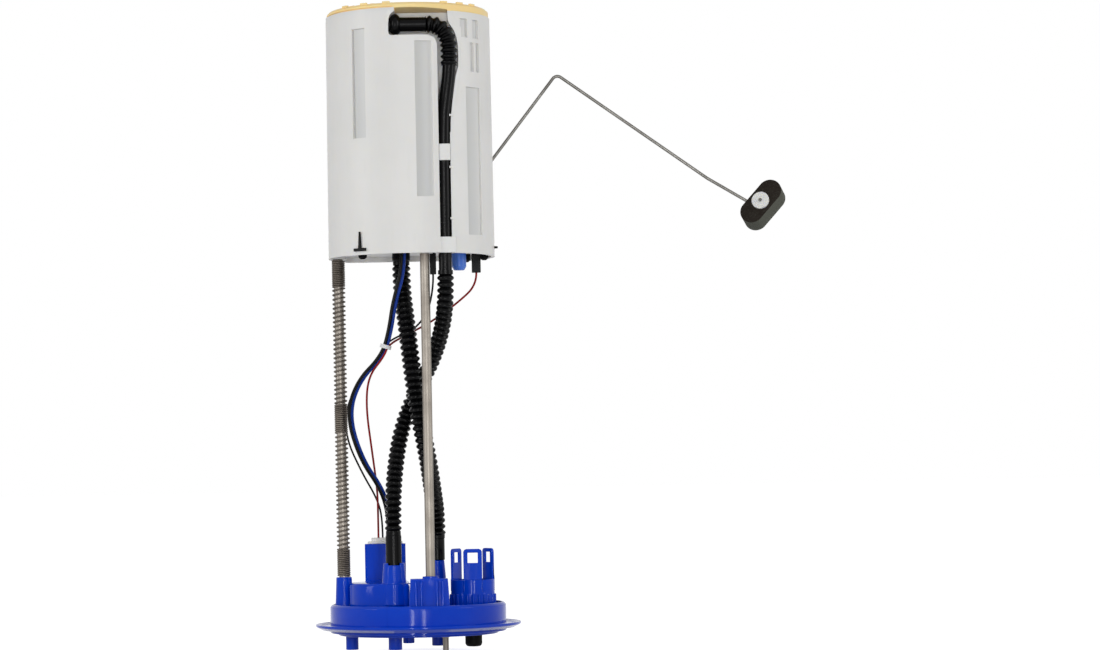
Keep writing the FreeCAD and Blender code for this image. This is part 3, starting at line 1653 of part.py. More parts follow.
def make_sender_arm():
    """The wire arm, the hub that it turns with, the wiper, and the float with its washer."""
    pivot = V(value_of(S["pivot_x"]), 0, value_of(S["pivot_z"]))
    elbow = V(value_of(S["elbow_x"]), value_of(S["arm_y"]), value_of(S["elbow_z"]))
    knee = V(value_of(S["knee_x"]), value_of(S["arm_y"]), value_of(S["knee_z"]))
    face = V(value_of(S["float_x"]), value_of(S["float_y"]), value_of(S["float_z"]))
    reach = value_of(S["float_thickness"]) + value_of(S["float_standoff"])
    route = [
        pivot + V(0, value_of(S["shell_flat"]) + 0.4, 0),
        pivot + V(0, value_of(S["arm_y"]), 0),
        elbow,
        knee,
        face - WIRE_END * reach,
        face + WIRE_END * (value_of(S["washer_thickness"]) + 1.0),
    ]
    make_tube("float_arm", route, S["arm_radius"], (3.0, 4.0, 14.0, 2.6))
    angle = math.degrees(math.atan2(elbow.z - pivot.z, elbow.x - pivot.x))
    turn = FreeCAD.Rotation(V(0, 1, 0), -angle)
    hub = new_body("wiper_hub", (S["pivot_x"], 0, S["pivot_z"]))
    sketch = new_sketch(hub, "XZ_Plane", up=-HUB_FRONT - S["hub_thickness"])
    add_circle(sketch, S["hub_radius"])
    add_circle(sketch, S["arm_radius"] + S["rod_fit"])
    pad(hub, sketch, S["hub_thickness"])
    lug_high = S["arm_y"] + S["arm_radius"]
    for side in (-1, 1):
        sketch = new_sketch(hub, "XZ_Plane", up=-lug_high)
        offset = (S["arm_radius"] + S["arm_fit"] + 0.75) * side
        add_box(sketch, (S["hub_radius"] * 0.8, offset), S["hub_radius"], as_size(1.5))
        pad(hub, sketch, lug_high - HUB_FRONT)
    hub.Placement.Rotation = turn
    wiper = new_body("wiper", (S["pivot_x"], 0, S["pivot_z"]))
    sketch = new_sketch(wiper, "XZ_Plane", up=-HUB_FRONT)
    add_box(sketch, (as_size(0), S["hub_radius"] * 1.3), as_size(3), S["hub_radius"] * 1.2)
    pad(wiper, sketch, HUB_FRONT - S["shell_flat"] - S["frame_thickness"] - 0.8)
    wiper.Placement.Rotation = turn
    make_float(face)


def make_float(face):
    """The float lies across the wire's end; its face looks along the wire."""
    along = FLOAT_ALONG
    inwards = WIRE_END * -1
    across = inwards.cross(along)
    matrix = FreeCAD.Matrix(
        along.x, across.x, inwards.x, face.x,
        along.y, across.y, inwards.y, face.y,
        along.z, across.z, inwards.z, face.z,
        0, 0, 0, 1,
    )
    place = FreeCAD.Placement(matrix)
    body = new_body("float")
    sketch = new_sketch(body)
    half = (S["float_length"] - S["float_width"]) / 2
    add_box(sketch, (as_size(0), as_size(0)), half * 2, S["float_width"])
    pad(body, sketch, S["float_thickness"])
    for side in (-1, 1):
        sketch = new_sketch(body)
        add_circle(sketch, S["float_width"] / 2, (half * side, as_size(0)))
        pad(body, sketch, S["float_thickness"])
    sketch = new_sketch(body)
    add_circle(sketch, S["arm_radius"] + S["arm_fit"])
    pocket(body, sketch, S["float_thickness"], towards_normal=True)
    washer = new_body("float_washer")
    sketch = new_sketch(washer, up=-S["washer_thickness"] - S["arm_fit"] * 2)
    add_circle(sketch, S["washer_radius"])
    add_circle(sketch, S["arm_radius"] + S["rod_fit"])
    pad(washer, sketch, S["washer_thickness"])
    for thing in (body, washer):
        for axis in "xyz":
            thing.setExpression(f"Placement.Base.{axis}", None)
        thing.Placement = place


def check_and_export():
    """Stops at a failed object; otherwise writes each sub-part to its own file."""
    doc.recompute()
    faults = []
    for thing in doc.Objects:
        if "Invalid" in thing.State or "Error" in thing.State:
            faults.append(f"{thing.Label} failed: {thing.State}")
    pieces = [thing for thing in doc.Objects if thing.TypeId == "PartDesign::Body" or thing in LOOSE]
    for thing in pieces:
        shape = thing.Shape
        if shape.isNull() or not shape.isValid() or not shape.Solids:
            faults.append(f"{thing.Label} has no sound solid")
        else:
            print(f"{thing.Label} {len(shape.Solids)} {shape.Volume:.1f}")
    if faults:
        raise RuntimeError("; ".join(faults))
    os.makedirs("parts", exist_ok=True)
    for thing in pieces:
        thing.Shape.exportStep(os.path.join("parts", thing.Label + ".step"))


LOOSE = []
make_flange()
make_vent_cup()
make_rod_parts()
make_connector()
make_outside_parts()
make_shell()
make_cap()
make_carrier()
make_plugs()
make_pump_case()
make_pump_rotor()
make_pump_mounts()
make_fixings()
make_cuffs()
make_hoses()
make_wires()
make_sender_frame()
make_sender_arm()
check_and_export()
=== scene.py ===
"""Looks of a fuel pump module: each piece is built or dressed round its solid, in the solids' own frame.

The frame: +Z runs from the flange to the reservoir, +X towards the float, the origin lies on the flange's
axis at the face of its disc. Sizes are in millimetres and become metres when a piece is finished.
"""

import json
import logging
import math
from dataclasses import dataclass, field
from enum import Enum
from typing import Callable, Sequence, Union

import bmesh
import bpy
from mathutils import Matrix, Quaternion, Vector
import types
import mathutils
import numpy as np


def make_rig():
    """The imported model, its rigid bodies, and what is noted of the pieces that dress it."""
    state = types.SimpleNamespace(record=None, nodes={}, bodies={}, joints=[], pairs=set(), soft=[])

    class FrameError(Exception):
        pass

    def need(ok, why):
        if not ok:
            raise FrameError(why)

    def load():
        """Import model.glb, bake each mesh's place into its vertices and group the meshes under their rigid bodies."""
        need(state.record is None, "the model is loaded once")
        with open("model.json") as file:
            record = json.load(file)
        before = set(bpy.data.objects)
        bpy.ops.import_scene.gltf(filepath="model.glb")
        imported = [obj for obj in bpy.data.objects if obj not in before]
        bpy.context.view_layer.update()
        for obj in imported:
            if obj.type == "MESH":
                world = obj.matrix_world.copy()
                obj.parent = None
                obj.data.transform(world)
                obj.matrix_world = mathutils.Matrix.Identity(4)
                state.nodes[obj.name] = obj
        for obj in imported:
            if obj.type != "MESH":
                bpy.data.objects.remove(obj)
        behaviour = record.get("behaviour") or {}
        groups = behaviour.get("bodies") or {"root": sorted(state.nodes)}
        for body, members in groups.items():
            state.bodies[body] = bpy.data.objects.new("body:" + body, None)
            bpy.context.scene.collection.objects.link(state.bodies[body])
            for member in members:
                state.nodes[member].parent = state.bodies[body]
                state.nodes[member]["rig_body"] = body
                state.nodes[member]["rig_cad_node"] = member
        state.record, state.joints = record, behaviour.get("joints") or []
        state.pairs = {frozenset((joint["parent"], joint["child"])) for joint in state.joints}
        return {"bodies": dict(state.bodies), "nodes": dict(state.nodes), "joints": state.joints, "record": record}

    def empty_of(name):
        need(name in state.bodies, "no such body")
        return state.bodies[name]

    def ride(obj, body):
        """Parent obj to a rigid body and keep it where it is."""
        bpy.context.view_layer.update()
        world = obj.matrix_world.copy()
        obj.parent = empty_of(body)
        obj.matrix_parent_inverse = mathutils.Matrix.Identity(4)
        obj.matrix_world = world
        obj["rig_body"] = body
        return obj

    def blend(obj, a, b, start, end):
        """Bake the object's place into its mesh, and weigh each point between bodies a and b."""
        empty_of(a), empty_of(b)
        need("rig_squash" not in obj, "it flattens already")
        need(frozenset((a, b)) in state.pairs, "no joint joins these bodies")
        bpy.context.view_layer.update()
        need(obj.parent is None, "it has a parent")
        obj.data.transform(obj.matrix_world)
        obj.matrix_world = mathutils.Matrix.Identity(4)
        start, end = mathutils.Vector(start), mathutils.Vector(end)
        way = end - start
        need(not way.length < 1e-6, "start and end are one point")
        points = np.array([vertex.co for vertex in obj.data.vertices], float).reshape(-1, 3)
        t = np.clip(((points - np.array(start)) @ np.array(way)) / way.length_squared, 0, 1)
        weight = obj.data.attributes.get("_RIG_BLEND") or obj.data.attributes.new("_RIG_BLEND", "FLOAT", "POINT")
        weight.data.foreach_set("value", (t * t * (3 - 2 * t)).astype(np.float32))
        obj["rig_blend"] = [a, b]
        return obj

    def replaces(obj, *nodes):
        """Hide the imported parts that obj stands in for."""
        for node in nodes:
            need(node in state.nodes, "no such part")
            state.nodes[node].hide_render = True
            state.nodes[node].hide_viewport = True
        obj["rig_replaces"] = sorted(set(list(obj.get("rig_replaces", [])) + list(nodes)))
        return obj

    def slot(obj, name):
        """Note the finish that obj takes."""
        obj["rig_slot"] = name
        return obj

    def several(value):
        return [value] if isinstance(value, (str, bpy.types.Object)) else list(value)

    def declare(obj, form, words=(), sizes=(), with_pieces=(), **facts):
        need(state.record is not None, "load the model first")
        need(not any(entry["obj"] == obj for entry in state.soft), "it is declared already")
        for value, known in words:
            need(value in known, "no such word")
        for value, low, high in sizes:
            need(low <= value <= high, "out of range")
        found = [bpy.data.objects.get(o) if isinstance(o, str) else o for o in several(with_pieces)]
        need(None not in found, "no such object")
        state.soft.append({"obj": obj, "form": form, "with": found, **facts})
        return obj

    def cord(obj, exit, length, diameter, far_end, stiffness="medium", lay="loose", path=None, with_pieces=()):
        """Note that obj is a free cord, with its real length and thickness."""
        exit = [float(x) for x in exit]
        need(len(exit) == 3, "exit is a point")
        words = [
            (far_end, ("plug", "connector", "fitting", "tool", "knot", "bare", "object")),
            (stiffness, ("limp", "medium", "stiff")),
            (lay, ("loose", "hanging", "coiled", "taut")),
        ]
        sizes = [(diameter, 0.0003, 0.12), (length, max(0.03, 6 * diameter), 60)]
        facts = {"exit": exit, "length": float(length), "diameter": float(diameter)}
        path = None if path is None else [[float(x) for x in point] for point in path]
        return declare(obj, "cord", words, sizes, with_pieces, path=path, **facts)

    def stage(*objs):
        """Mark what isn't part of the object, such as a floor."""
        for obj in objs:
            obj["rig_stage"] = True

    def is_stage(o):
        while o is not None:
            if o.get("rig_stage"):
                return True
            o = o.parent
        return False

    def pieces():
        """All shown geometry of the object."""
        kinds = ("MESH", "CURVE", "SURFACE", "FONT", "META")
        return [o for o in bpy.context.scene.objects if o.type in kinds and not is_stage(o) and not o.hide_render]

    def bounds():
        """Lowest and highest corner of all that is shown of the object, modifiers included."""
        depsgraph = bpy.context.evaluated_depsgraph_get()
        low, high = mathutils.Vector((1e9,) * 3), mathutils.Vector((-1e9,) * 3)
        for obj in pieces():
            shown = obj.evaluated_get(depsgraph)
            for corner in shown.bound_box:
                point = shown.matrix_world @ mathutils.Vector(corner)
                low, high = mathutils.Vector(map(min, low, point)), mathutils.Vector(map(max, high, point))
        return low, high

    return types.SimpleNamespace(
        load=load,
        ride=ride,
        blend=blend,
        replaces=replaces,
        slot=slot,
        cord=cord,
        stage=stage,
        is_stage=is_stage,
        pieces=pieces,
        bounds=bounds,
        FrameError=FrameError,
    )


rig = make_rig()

LOG = logging.getLogger("fuel_pump_module")
MM = 0.001
ROUND_SHADING = 60.0

Spot = tuple[float, float, float]
Outline = Sequence[tuple[float, float]]
Colour = tuple[float, float, float]


class Body(Enum):
    """The rigid bodies that pieces ride on."""

    FLANGE = "flange"
    RESERVOIR = "reservoir"
    FLOAT = "float"


class Stiffness(Enum):
    """How stiff a hose or wire is."""

    LIMP = "limp"
    MEDIUM = "medium"
    STIFF = "stiff"


def srgb(red: int, green: int, blue: int) -> Colour:
    """Turns a colour read on a screen into the linear values that a shader takes."""

    def linear(level: int) -> float:
        share = level / 255
        return share / 12.92 if share <= 0.04045 else ((share + 0.055) / 1.055) ** 2.4

    return (linear(red), linear(green), linear(blue))


class Signal:
    """A value on a node's socket; arithmetic on it adds the Math nodes that work it out."""

    def __init__(self, graph: "Graph", socket: bpy.types.NodeSocket) -> None:
        """Wraps one output socket of a graph."""
        self.graph = graph
        self.socket = socket

    def combine(self, operation: str, first: "Value", second: "Value") -> "Signal":
        """Adds one Math node and gives its result."""
        node = self.graph.add("ShaderNodeMath", {"operation": operation}, {0: first, 1: second})
        return Signal(self.graph, node.outputs[0])

    def __add__(self, other: "Value") -> "Signal":
        """Sum."""
        return self.combine("ADD", self, other)

    def __radd__(self, other: "Value") -> "Signal":
        """Sum, the other way round."""
        return self.combine("ADD", other, self)

    def __sub__(self, other: "Value") -> "Signal":
        """Difference."""
        return self.combine("SUBTRACT", self, other)

    def __mul__(self, other: "Value") -> "Signal":
        """Product."""
        return self.combine("MULTIPLY", self, other)


Value = Union[Signal, bpy.types.NodeSocket, float, tuple]


class Graph:
    """A node tree that is filled from nothing."""

    def __init__(self, owner: bpy.types.ID) -> None:
        """Empties the node tree of a material or a world."""
        owner.use_nodes = True
        self.tree = owner.node_tree
        self.tree.nodes.clear()

    def add(self, kind: str, settings: dict | None = None, inputs: dict | None = None) -> bpy.types.Node:
        """Adds a node: its settings first, then the values or links of its sockets.

        Args:
            kind: the node's type name.
            settings: attributes to set.
            inputs: values, sockets or signals by socket name or number.

        Returns:
            The new node.
        """
        node = self.tree.nodes.new(kind)
        for name, setting in (settings or {}).items():
            setattr(node, name, setting)
        for name, value in (inputs or {}).items():
            self.feed(node.inputs[name], value)
        return node

    def feed(self, socket: bpy.types.NodeSocket, value: Value) -> None:
        """Sets a socket to a constant, or links a signal to it."""
        if isinstance(value, Signal):
            self.tree.links.new(value.socket, socket)
        elif isinstance(value, bpy.types.NodeSocket):
            self.tree.links.new(value, socket)
        elif isinstance(value, tuple) and len(value) == 3 and len(socket.default_value) == 4:
            socket.default_value = (*value, 1.0)
        else:
            socket.default_value = value

    def seen_directly(self) -> Signal:
        """1 for rays from the camera, off gloss and through clear pieces, else 0."""
        path = self.add("ShaderNodeLightPath")
        camera = Signal(self, path.outputs["Is Camera Ray"])
        glossy = Signal(self, path.outputs["Is Glossy Ray"])
        clear = Signal(self, path.outputs["Is Transmission Ray"])
        return self.band(camera + glossy + clear, 0.0, 1.0)

    def place(self, stretch: Spot = (1.0, 1.0, 1.0)) -> bpy.types.NodeSocket:
        """Object coordinates, stretched along the axes."""
        coordinates = self.add("ShaderNodeTexCoord").outputs["Object"]
        mapping = self.add("ShaderNodeMapping", inputs={"Vector": coordinates, "Scale": stretch})
        return mapping.outputs[0]

    def noise(self, scale: float, detail: float = 3.0, stretch: Spot = (1.0, 1.0, 1.0)) -> Signal:
        """Cloudy noise between 0 and 1, with a scale in lumps per metre and a detail in octaves."""
        inputs = {"Vector": self.place(stretch), "Scale": scale, "Detail": detail}
        return Signal(self, self.add("ShaderNodeTexNoise", inputs=inputs).outputs[0])

    def band(self, value: Value, low: float, high: float) -> Signal:
        """Stretches the range from low to high over 0 to 1 and clamps the rest."""
        node = self.add("ShaderNodeMapRange", {"clamp": True}, {0: value, 1: low, 2: high})
        return Signal(self, node.outputs[0])

    def attribute(self, name: str) -> Signal:
        """A number stored on the mesh, or 0 where it has none."""
        settings = {"attribute_name": name, "attribute_type": "GEOMETRY"}
        return Signal(self, self.add("ShaderNodeAttribute", settings).outputs["Fac"])

    def depth(self, start: Spot, direction: Spot) -> Signal:
        """How far a point lies from a plane.

        Args:
            start: a point of the plane, in millimetres.
            direction: the way that counts as positive.

        Returns:
            The distance in millimetres.
        """
        inputs = {0: self.place(), 1: tuple(Vector(direction).normalized())}
        dot = self.add("ShaderNodeVectorMath", {"operation": "DOT_PRODUCT"}, inputs).outputs["Value"]
        return (Signal(self, dot) - Vector(start).dot(Vector(direction).normalized()) * MM) * (1 / MM)

    def mix(self, share: Value, first: Value, second: Value) -> bpy.types.NodeSocket:
        """Mixes two colours."""
        inputs = {"Factor": share, 6: first, 7: second}
        return self.add("ShaderNodeMix", {"data_type": "RGBA"}, inputs).outputs[2]

    def bump(self, height: Value, depth: float) -> bpy.types.NodeSocket:
        """A bumped normal from a height between 0 and 1 and its full depth in millimetres."""
        inputs = {"Height": height, "Distance": depth * MM, "Strength": 1.0}
        return self.add("ShaderNodeBump", inputs=inputs).outputs[0]


class Surface(Graph):
    """The node tree of one material, with a Principled shader at its end."""

    def __init__(self, name: str) -> None:
        """Makes the material."""
        self.material = bpy.data.materials.new(name)
        super().__init__(self.material)
        self.shader = self.add("ShaderNodeBsdfPrincipled")
        self.output = self.add("ShaderNodeOutputMaterial", inputs={"Surface": self.shader.outputs[0]})

    def shade(self, **sockets: Value) -> None:
        """Feeds the Principled shader; underscores in names stand for spaces."""
        for name, value in sockets.items():
            self.feed(self.shader.inputs[name.replace("_", " ")], value)


@dataclass(frozen=True)
class Finish:
    """What every finish has: its name, and the record's slot that it stands for."""

    name: str
    slot: str

    def draw(self, graph: Surface) -> None:
        """Feeds the shader of a surface."""
        raise NotImplementedError

    def material(self) -> bpy.types.Material:
        """The material, made on first use."""
        found = bpy.data.materials.get(self.name)
        if found:
            return found
        graph = Surface(self.name)
        self.draw(graph)
        return graph.material


@dataclass(frozen=True)
class Moulded(Finish):
    """Injection-moulded plastic: slight flow marks, scuffs, a fine skin, and painted shade where the mesh stores it.
    """

    colour: Colour = (0.8, 0.8, 0.8)
    shade_colour: Colour = (0.7, 0.7, 0.7)
    roughness: float = 0.35
    gloss: float = 0.4
    grain: float = 0.02
    glow: float = 0.0

    def draw(self, graph: Surface) -> None:
        """Feeds the shader of a surface."""
        flow = graph.band(graph.noise(28.0, 4.0), 0.3, 0.7)
        scuffs = graph.band(graph.noise(260.0, 6.0, (1.0, 1.0, 0.15)), 0.58, 0.75)
        skin = graph.noise(2600.0, 2.0)
        colour = graph.mix(flow * 0.6 + scuffs * 0.25, self.colour, self.shade_colour)
        # painted shade: where the mesh stores a share of it, as on the reservoir's slot floors, the colour darkens
        # towards a deeper shade tone
        thin = tuple(level * 0.78 for level in self.shade_colour)
        colour = graph.mix(graph.attribute("thin"), colour, thin)
        roughness = self.roughness + flow * 0.06 + scuffs * 0.16
        normal = graph.bump(skin * 0.6 + graph.noise(160.0) * 0.4, self.grain)
        graph.shade(Base_Color=colour, Roughness=roughness, Normal=normal)
        graph.shade(Specular_IOR_Level=self.gloss)
        graph.shade(Subsurface_Weight=self.glow, Subsurface_Scale=0.004, Subsurface_Radius=(1.0, 0.8, 0.5))


@dataclass(frozen=True)
class Steel(Finish):
    """Drawn or turned steel with streaks along its length."""

    colour: Colour = (0.5, 0.48, 0.45)
    dark: Colour = (0.3, 0.28, 0.26)
    roughness: float = 0.3
    streak: Spot = (1.0, 1.0, 0.02)

    def draw(self, graph: Surface) -> None:
        """Feeds the shader of a surface."""
        streaks = graph.noise(1800.0, 3.0, self.streak)
        stain = graph.band(graph.noise(45.0, 4.0), 0.45, 0.7)
        colour = graph.mix(stain * 0.6 + streaks * 0.25, self.colour, self.dark)
        graph.shade(Base_Color=colour, Metallic=1.0)
        graph.shade(Roughness=self.roughness + streaks * 0.14 + stain * 0.08)
        graph.shade(Normal=graph.bump(streaks, 0.012))


@dataclass(frozen=True)
class Rubber(Finish):
    """Black moulded rubber or nylon with a dusty bloom."""

    colour: Colour = (0.006, 0.006, 0.006)
    bloom: Colour = (0.03, 0.03, 0.03)
    roughness: float = 0.45
    gloss: float = 0.25

    def draw(self, graph: Surface) -> None:
        """Feeds the shader of a surface."""
        dust = graph.band(graph.noise(90.0, 5.0), 0.5, 0.75)
        colour = graph.mix(dust * 0.5, self.colour, self.bloom)
        graph.shade(Base_Color=colour, Roughness=self.roughness + dust * 0.15)
        graph.shade(Normal=graph.bump(graph.noise(1400.0, 3.0), 0.02))
        graph.shade(Specular_IOR_Level=self.gloss)


@dataclass(frozen=True)
class Insulation(Finish):
    """Coloured wire insulation with a waxy shine."""

    colour: Colour = (0.3, 0.02, 0.02)

    def draw(self, graph: Surface) -> None:
        """Feeds the shader of a surface."""
        fade = graph.band(graph.noise(120.0, 3.0), 0.4, 0.7)
        pale = tuple(min(1.0, level * 1.6 + 0.01) for level in self.colour)
        graph.shade(Base_Color=graph.mix(fade * 0.5, self.colour, pale))
        graph.shade(Roughness=0.32 + fade * 0.12, Specular_IOR_Level=0.1)
        graph.shade(Normal=graph.bump(graph.noise(900.0), 0.02))


@dataclass(frozen=True)
class Foam(Finish):
    """Closed-cell float foam: dark open cells on the cut face, a greyer skin on the sides."""

    colour: Colour = (0.02, 0.014, 0.012)
    skin: Colour = (0.11, 0.1, 0.09)
    face: Spot = (0.0, 0.0, 0.0)
    inwards: Spot = (0.0, 0.0, 1.0)

    def draw(self, graph: Surface) -> None:
        """Feeds the shader of a surface."""
        cells = graph.add("ShaderNodeTexVoronoi", inputs={"Vector": graph.place(), "Scale": 1500.0})
        pits = Signal(graph, cells.outputs[0])
        cloud = graph.noise(140.0, 5.0)
        flecks = graph.band(graph.noise(1300.0, 4.0), 0.54, 0.66)
        side = graph.band(graph.depth(self.face, self.inwards), 0.3, 0.8)
        share = side * 0.7 + flecks * 0.15 + cloud * 0.15
        graph.shade(Base_Color=graph.mix(share, self.colour, self.skin), Specular_IOR_Level=0.05)
        graph.shade(Roughness=0.75 + flecks * 0.1)
        graph.shade(Normal=graph.bump(pits * 0.6 + cloud * 0.4, 0.03))


@dataclass(frozen=True)
class Gauze(Finish):
    """Woven nylon filter cloth."""

    colour: Colour = (0.55, 0.55, 0.5)

    def draw(self, graph: Surface) -> None:
        """Feeds the shader of a surface."""
        waves = []
        for axis in ("X", "Y"):
            settings = {"bands_direction": axis}
            node = graph.add("ShaderNodeTexWave", settings, {"Vector": graph.place(), "Scale": 400.0})
            waves.append(Signal(graph, node.outputs[1]))
        weave = waves[0] * waves[1]
        dark = tuple(level * 0.4 for level in self.colour)
        graph.shade(Base_Color=graph.mix(weave, dark, self.colour), Roughness=0.7)
        graph.shade(Normal=graph.bump(weave, 0.15))


FLOAT_FACE: Spot = (241.3, 25.4, 286.4)
FLOAT_INWARDS: Spot = (0.28, 0.92, -0.28)

BLUE = Moulded("blue_acetal", "blue_plastic", srgb(2, 62, 194), srgb(1, 50, 174), 0.08, 0.12, 0.0015)
WHITE = Moulded("white_acetal", "white_plastic", srgb(228, 227, 225), srgb(220, 220, 217), 0.34, 0.15, 0.015, 0.2)
CREAM = Moulded("cream_acetal", "cream_plastic", srgb(255, 226, 164), srgb(250, 211, 142), 0.34, 0.15, 0.015, 0.35)
BLACK = Moulded("black_nylon", "black_plastic", srgb(10, 10, 11), srgb(16, 16, 17), 0.3, 0.08)
VALVE = Moulded("clear_blue", "blue_clear", srgb(70, 116, 212), srgb(104, 146, 226), 0.2, 0.2, 0.01, 0.2)
CARD = Moulded("ceramic_card", "ceramic", srgb(216, 210, 196), srgb(190, 182, 166), 0.5, 0.2)
RUBBER = Rubber("moulded_rubber", "black_rubber", srgb(8, 8, 8), srgb(20, 20, 21), 0.45, 0.06)
HOSE = Rubber("hose_nylon", "hose_black", srgb(4, 4, 5), srgb(14, 14, 15), 0.22, 0.1)
STEEL = Steel("drawn_steel", "steel", srgb(142, 136, 128), srgb(112, 105, 98), 0.4)
SPRING = Steel("spring_wire", "spring_steel", srgb(108, 101, 93), srgb(60, 55, 50), 0.42, (1.0, 1.0, 1.0))
ARM = Steel("arm_wire", "steel", srgb(120, 118, 114), srgb(84, 82, 78), 0.3)
CORE = Steel("core_sheet", "core_steel", srgb(110, 110, 114), srgb(70, 70, 74), 0.45, (0.02, 0.02, 1.0))
ALUMINIUM = Steel("cast_aluminium", "aluminium", srgb(196, 198, 202), srgb(150, 152, 156), 0.45, (1.0, 1.0, 1.0))
BRASS = Steel("bright_brass", "brass", srgb(206, 168, 88), srgb(150, 112, 52), 0.25)
MAGNET = Steel("ferrite", "magnet", srgb(66, 66, 70), srgb(44, 44, 48), 0.6, (1.0, 1.0, 1.0))
RED_WIRE = Insulation("red_insulation", "wire_red", srgb(128, 10, 12))
BLUE_WIRE = Insulation("blue_insulation", "wire_blue", srgb(16, 52, 140))
BLACK_WIRE = Insulation("black_insulation", "wire_black", srgb(6, 6, 6))
FOAM = Foam("cell_foam", "float_foam", srgb(30, 22, 19), srgb(96, 98, 90), FLOAT_FACE, FLOAT_INWARDS)
GAUZE = Gauze("strainer_gauze", "mesh")


def only(kind: type, items: Sequence) -> list:
    """The items that are of one kind, such as a result's corners."""
    return [item for item in items if isinstance(item, kind)]


def linked(name: str, data: bpy.types.ID) -> bpy.types.Object:
    """A new object in the scene that shows a mesh, camera or lamp."""
    item = bpy.data.objects.new(name, data)
    bpy.context.scene.collection.objects.link(item)
    return item


class Form:
    """A mesh in the making, in millimetres, shaped with bmesh operators."""

    def __init__(self) -> None:
        """Starts an empty mesh."""
        self.bm = bmesh.new()

    def block(self, size: Spot, centre: Spot) -> None:
        """Adds a box of a width, depth and height round its middle."""
        place = Matrix.Translation(centre) @ Matrix.Diagonal((*size, 1.0))
        bmesh.ops.create_cube(self.bm, size=1.0, matrix=place)

    def post(self, radius: float, top_radius: float, low: Spot, high: Spot, sides: int = 48) -> None:
        """Adds a round post or cone between two points."""
        start, end = Vector(low), Vector(high)
        run = end - start
        place = Matrix.Translation((start + end) / 2) @ run.to_track_quat("Z", "Y").to_matrix().to_4x4()
        bmesh.ops.create_cone(
            self.bm, cap_ends=True, segments=sides, radius1=radius, radius2=top_radius,
            depth=run.length, matrix=place,
        )

    def prism(self, outline: Outline, low: float, high: float) -> None:
        """Extrudes a flat outline upwards from a height to another."""
        face = self.bm.faces.new([self.bm.verts.new((x, y, low)) for x, y in outline])
        self.thicken([face], high - low)

    def thicken(self, faces: Sequence[bmesh.types.BMFace], height: float) -> None:
        """Extrudes flat faces upwards into a solid."""
        grown = bmesh.ops.extrude_face_region(self.bm, geom=list(faces))["geom"]
        bmesh.ops.translate(self.bm, vec=(0, 0, height), verts=only(bmesh.types.BMVert, grown))
        bmesh.ops.recalc_face_normals(self.bm, faces=self.bm.faces)

    def sector(self, inner: float, outer: float, start: float, end: float, low: float, high: float) -> None:
        """Adds a piece of an upright ring round the part's axis.

        Args:
            inner: the inner radius.
            outer: the outer radius.
            start: where it begins, in degrees from the front.
            end: where it ends.
            low: the bottom's height.
            high: the top's height.
        """
        steps = max(2, round(abs(end - start) / 2))
        turns = [math.radians(start + (end - start) * index / steps) for index in range(steps + 1)]
        outside = [(outer * math.sin(turn), -outer * math.cos(turn)) for turn in turns]
        inside = [(inner * math.sin(turn), -inner * math.cos(turn)) for turn in reversed(turns)]
        self.prism(outside + inside, low, high)

    def loft(self, rings: Sequence[Sequence[Spot]]) -> None:
        """Adds a solid that runs through flat rings of equally many corners."""
        loops = []
        for ring in rings:
            corners = [self.bm.verts.new(spot) for spot in ring]
            pairs = zip(corners, corners[1:] + corners[:1])
            loops.append([self.bm.edges.new(pair) for pair in pairs])
        for first, second in zip(loops, loops[1:]):
            bmesh.ops.bridge_loops(self.bm, edges=first + second)
        for loop in (loops[0], loops[-1]):
            bmesh.ops.edgeloop_fill(self.bm, edges=loop)
        bmesh.ops.recalc_face_normals(self.bm, faces=self.bm.faces)

    def join(self, other: "Form", how: str) -> None:
        """Adds another form to this one or takes it away.

        Args:
            other: the other form, which is used up.
            how: UNION or DIFFERENCE.
        """
        holders = []
        for form in (self, other):
            mesh = bpy.data.meshes.new("operand")
            form.bm.to_mesh(mesh)
            form.bm.free()
            holders.append(linked("operand", mesh))
        modifier = holders[0].modifiers.new("join", "BOOLEAN")
        modifier.object = holders[1]
        modifier.operation = how
        shown = holders[0].evaluated_get(bpy.context.evaluated_depsgraph_get())
        joined = bpy.data.meshes.new_from_object(shown)
        self.bm = bmesh.new()
        self.bm.from_mesh(joined)
        meshes = [joined, *(holder.data for holder in holders)]
        for holder in holders:
            bpy.data.objects.remove(holder)
        for mesh in meshes:
            bpy.data.meshes.remove(mesh)

    def soften(self, width: float, angle: float = 35.0) -> None:
        """Bevels the edges that are sharper than an angle in degrees."""
        pairs = (edge for edge in self.bm.edges if len(edge.link_faces) == 2)
        sharp = [edge for edge in pairs if math.degrees(edge.calc_face_angle(0.0)) > angle]
        bmesh.ops.bevel(
            self.bm, geom=sharp, offset=width, segments=2, profile=0.5,
            affect="EDGES", clamp_overlap=True, material=-1,
        )

    def sweep(self, line: "Line", radius: Callable[[float], float], spacing: float, sides: int) -> None:
        """Draws a ring along a line, as wide at each distance as the radius says.

        Args:
            line: the centre line.
            radius: the radius at a distance from the line's start.
            spacing: the distance between rings.
            sides: the ring's facets.
        """
        count = max(2, round(line.length / spacing))
        ring = bmesh.ops.create_circle(self.bm, cap_ends=False, segments=sides, radius=1.0)["verts"]
        edges = list({edge for vert in ring for edge in vert.link_edges})
        last = Matrix()
        for index in range(count + 1):
            distance = line.length * index / count
            place = line.frame(distance) @ Matrix.Diagonal((*(radius(distance),) * 2, 1.0, 1.0))
            if index == 0:
                first_edges = edges
            else:
                grown = bmesh.ops.extrude_edge_only(self.bm, edges=edges)["geom"]
                ring = only(bmesh.types.BMVert, grown)
                outer = set(ring)
                edges = [edge for edge in only(bmesh.types.BMEdge, grown) if outer.issuperset(edge.verts)]
            bmesh.ops.transform(self.bm, matrix=place @ last.inverted(), verts=ring)
            last = place
        for loop in (first_edges, edges):
            bmesh.ops.edgeloop_fill(self.bm, edges=loop)
        bmesh.ops.recalc_face_normals(self.bm, faces=self.bm.faces)

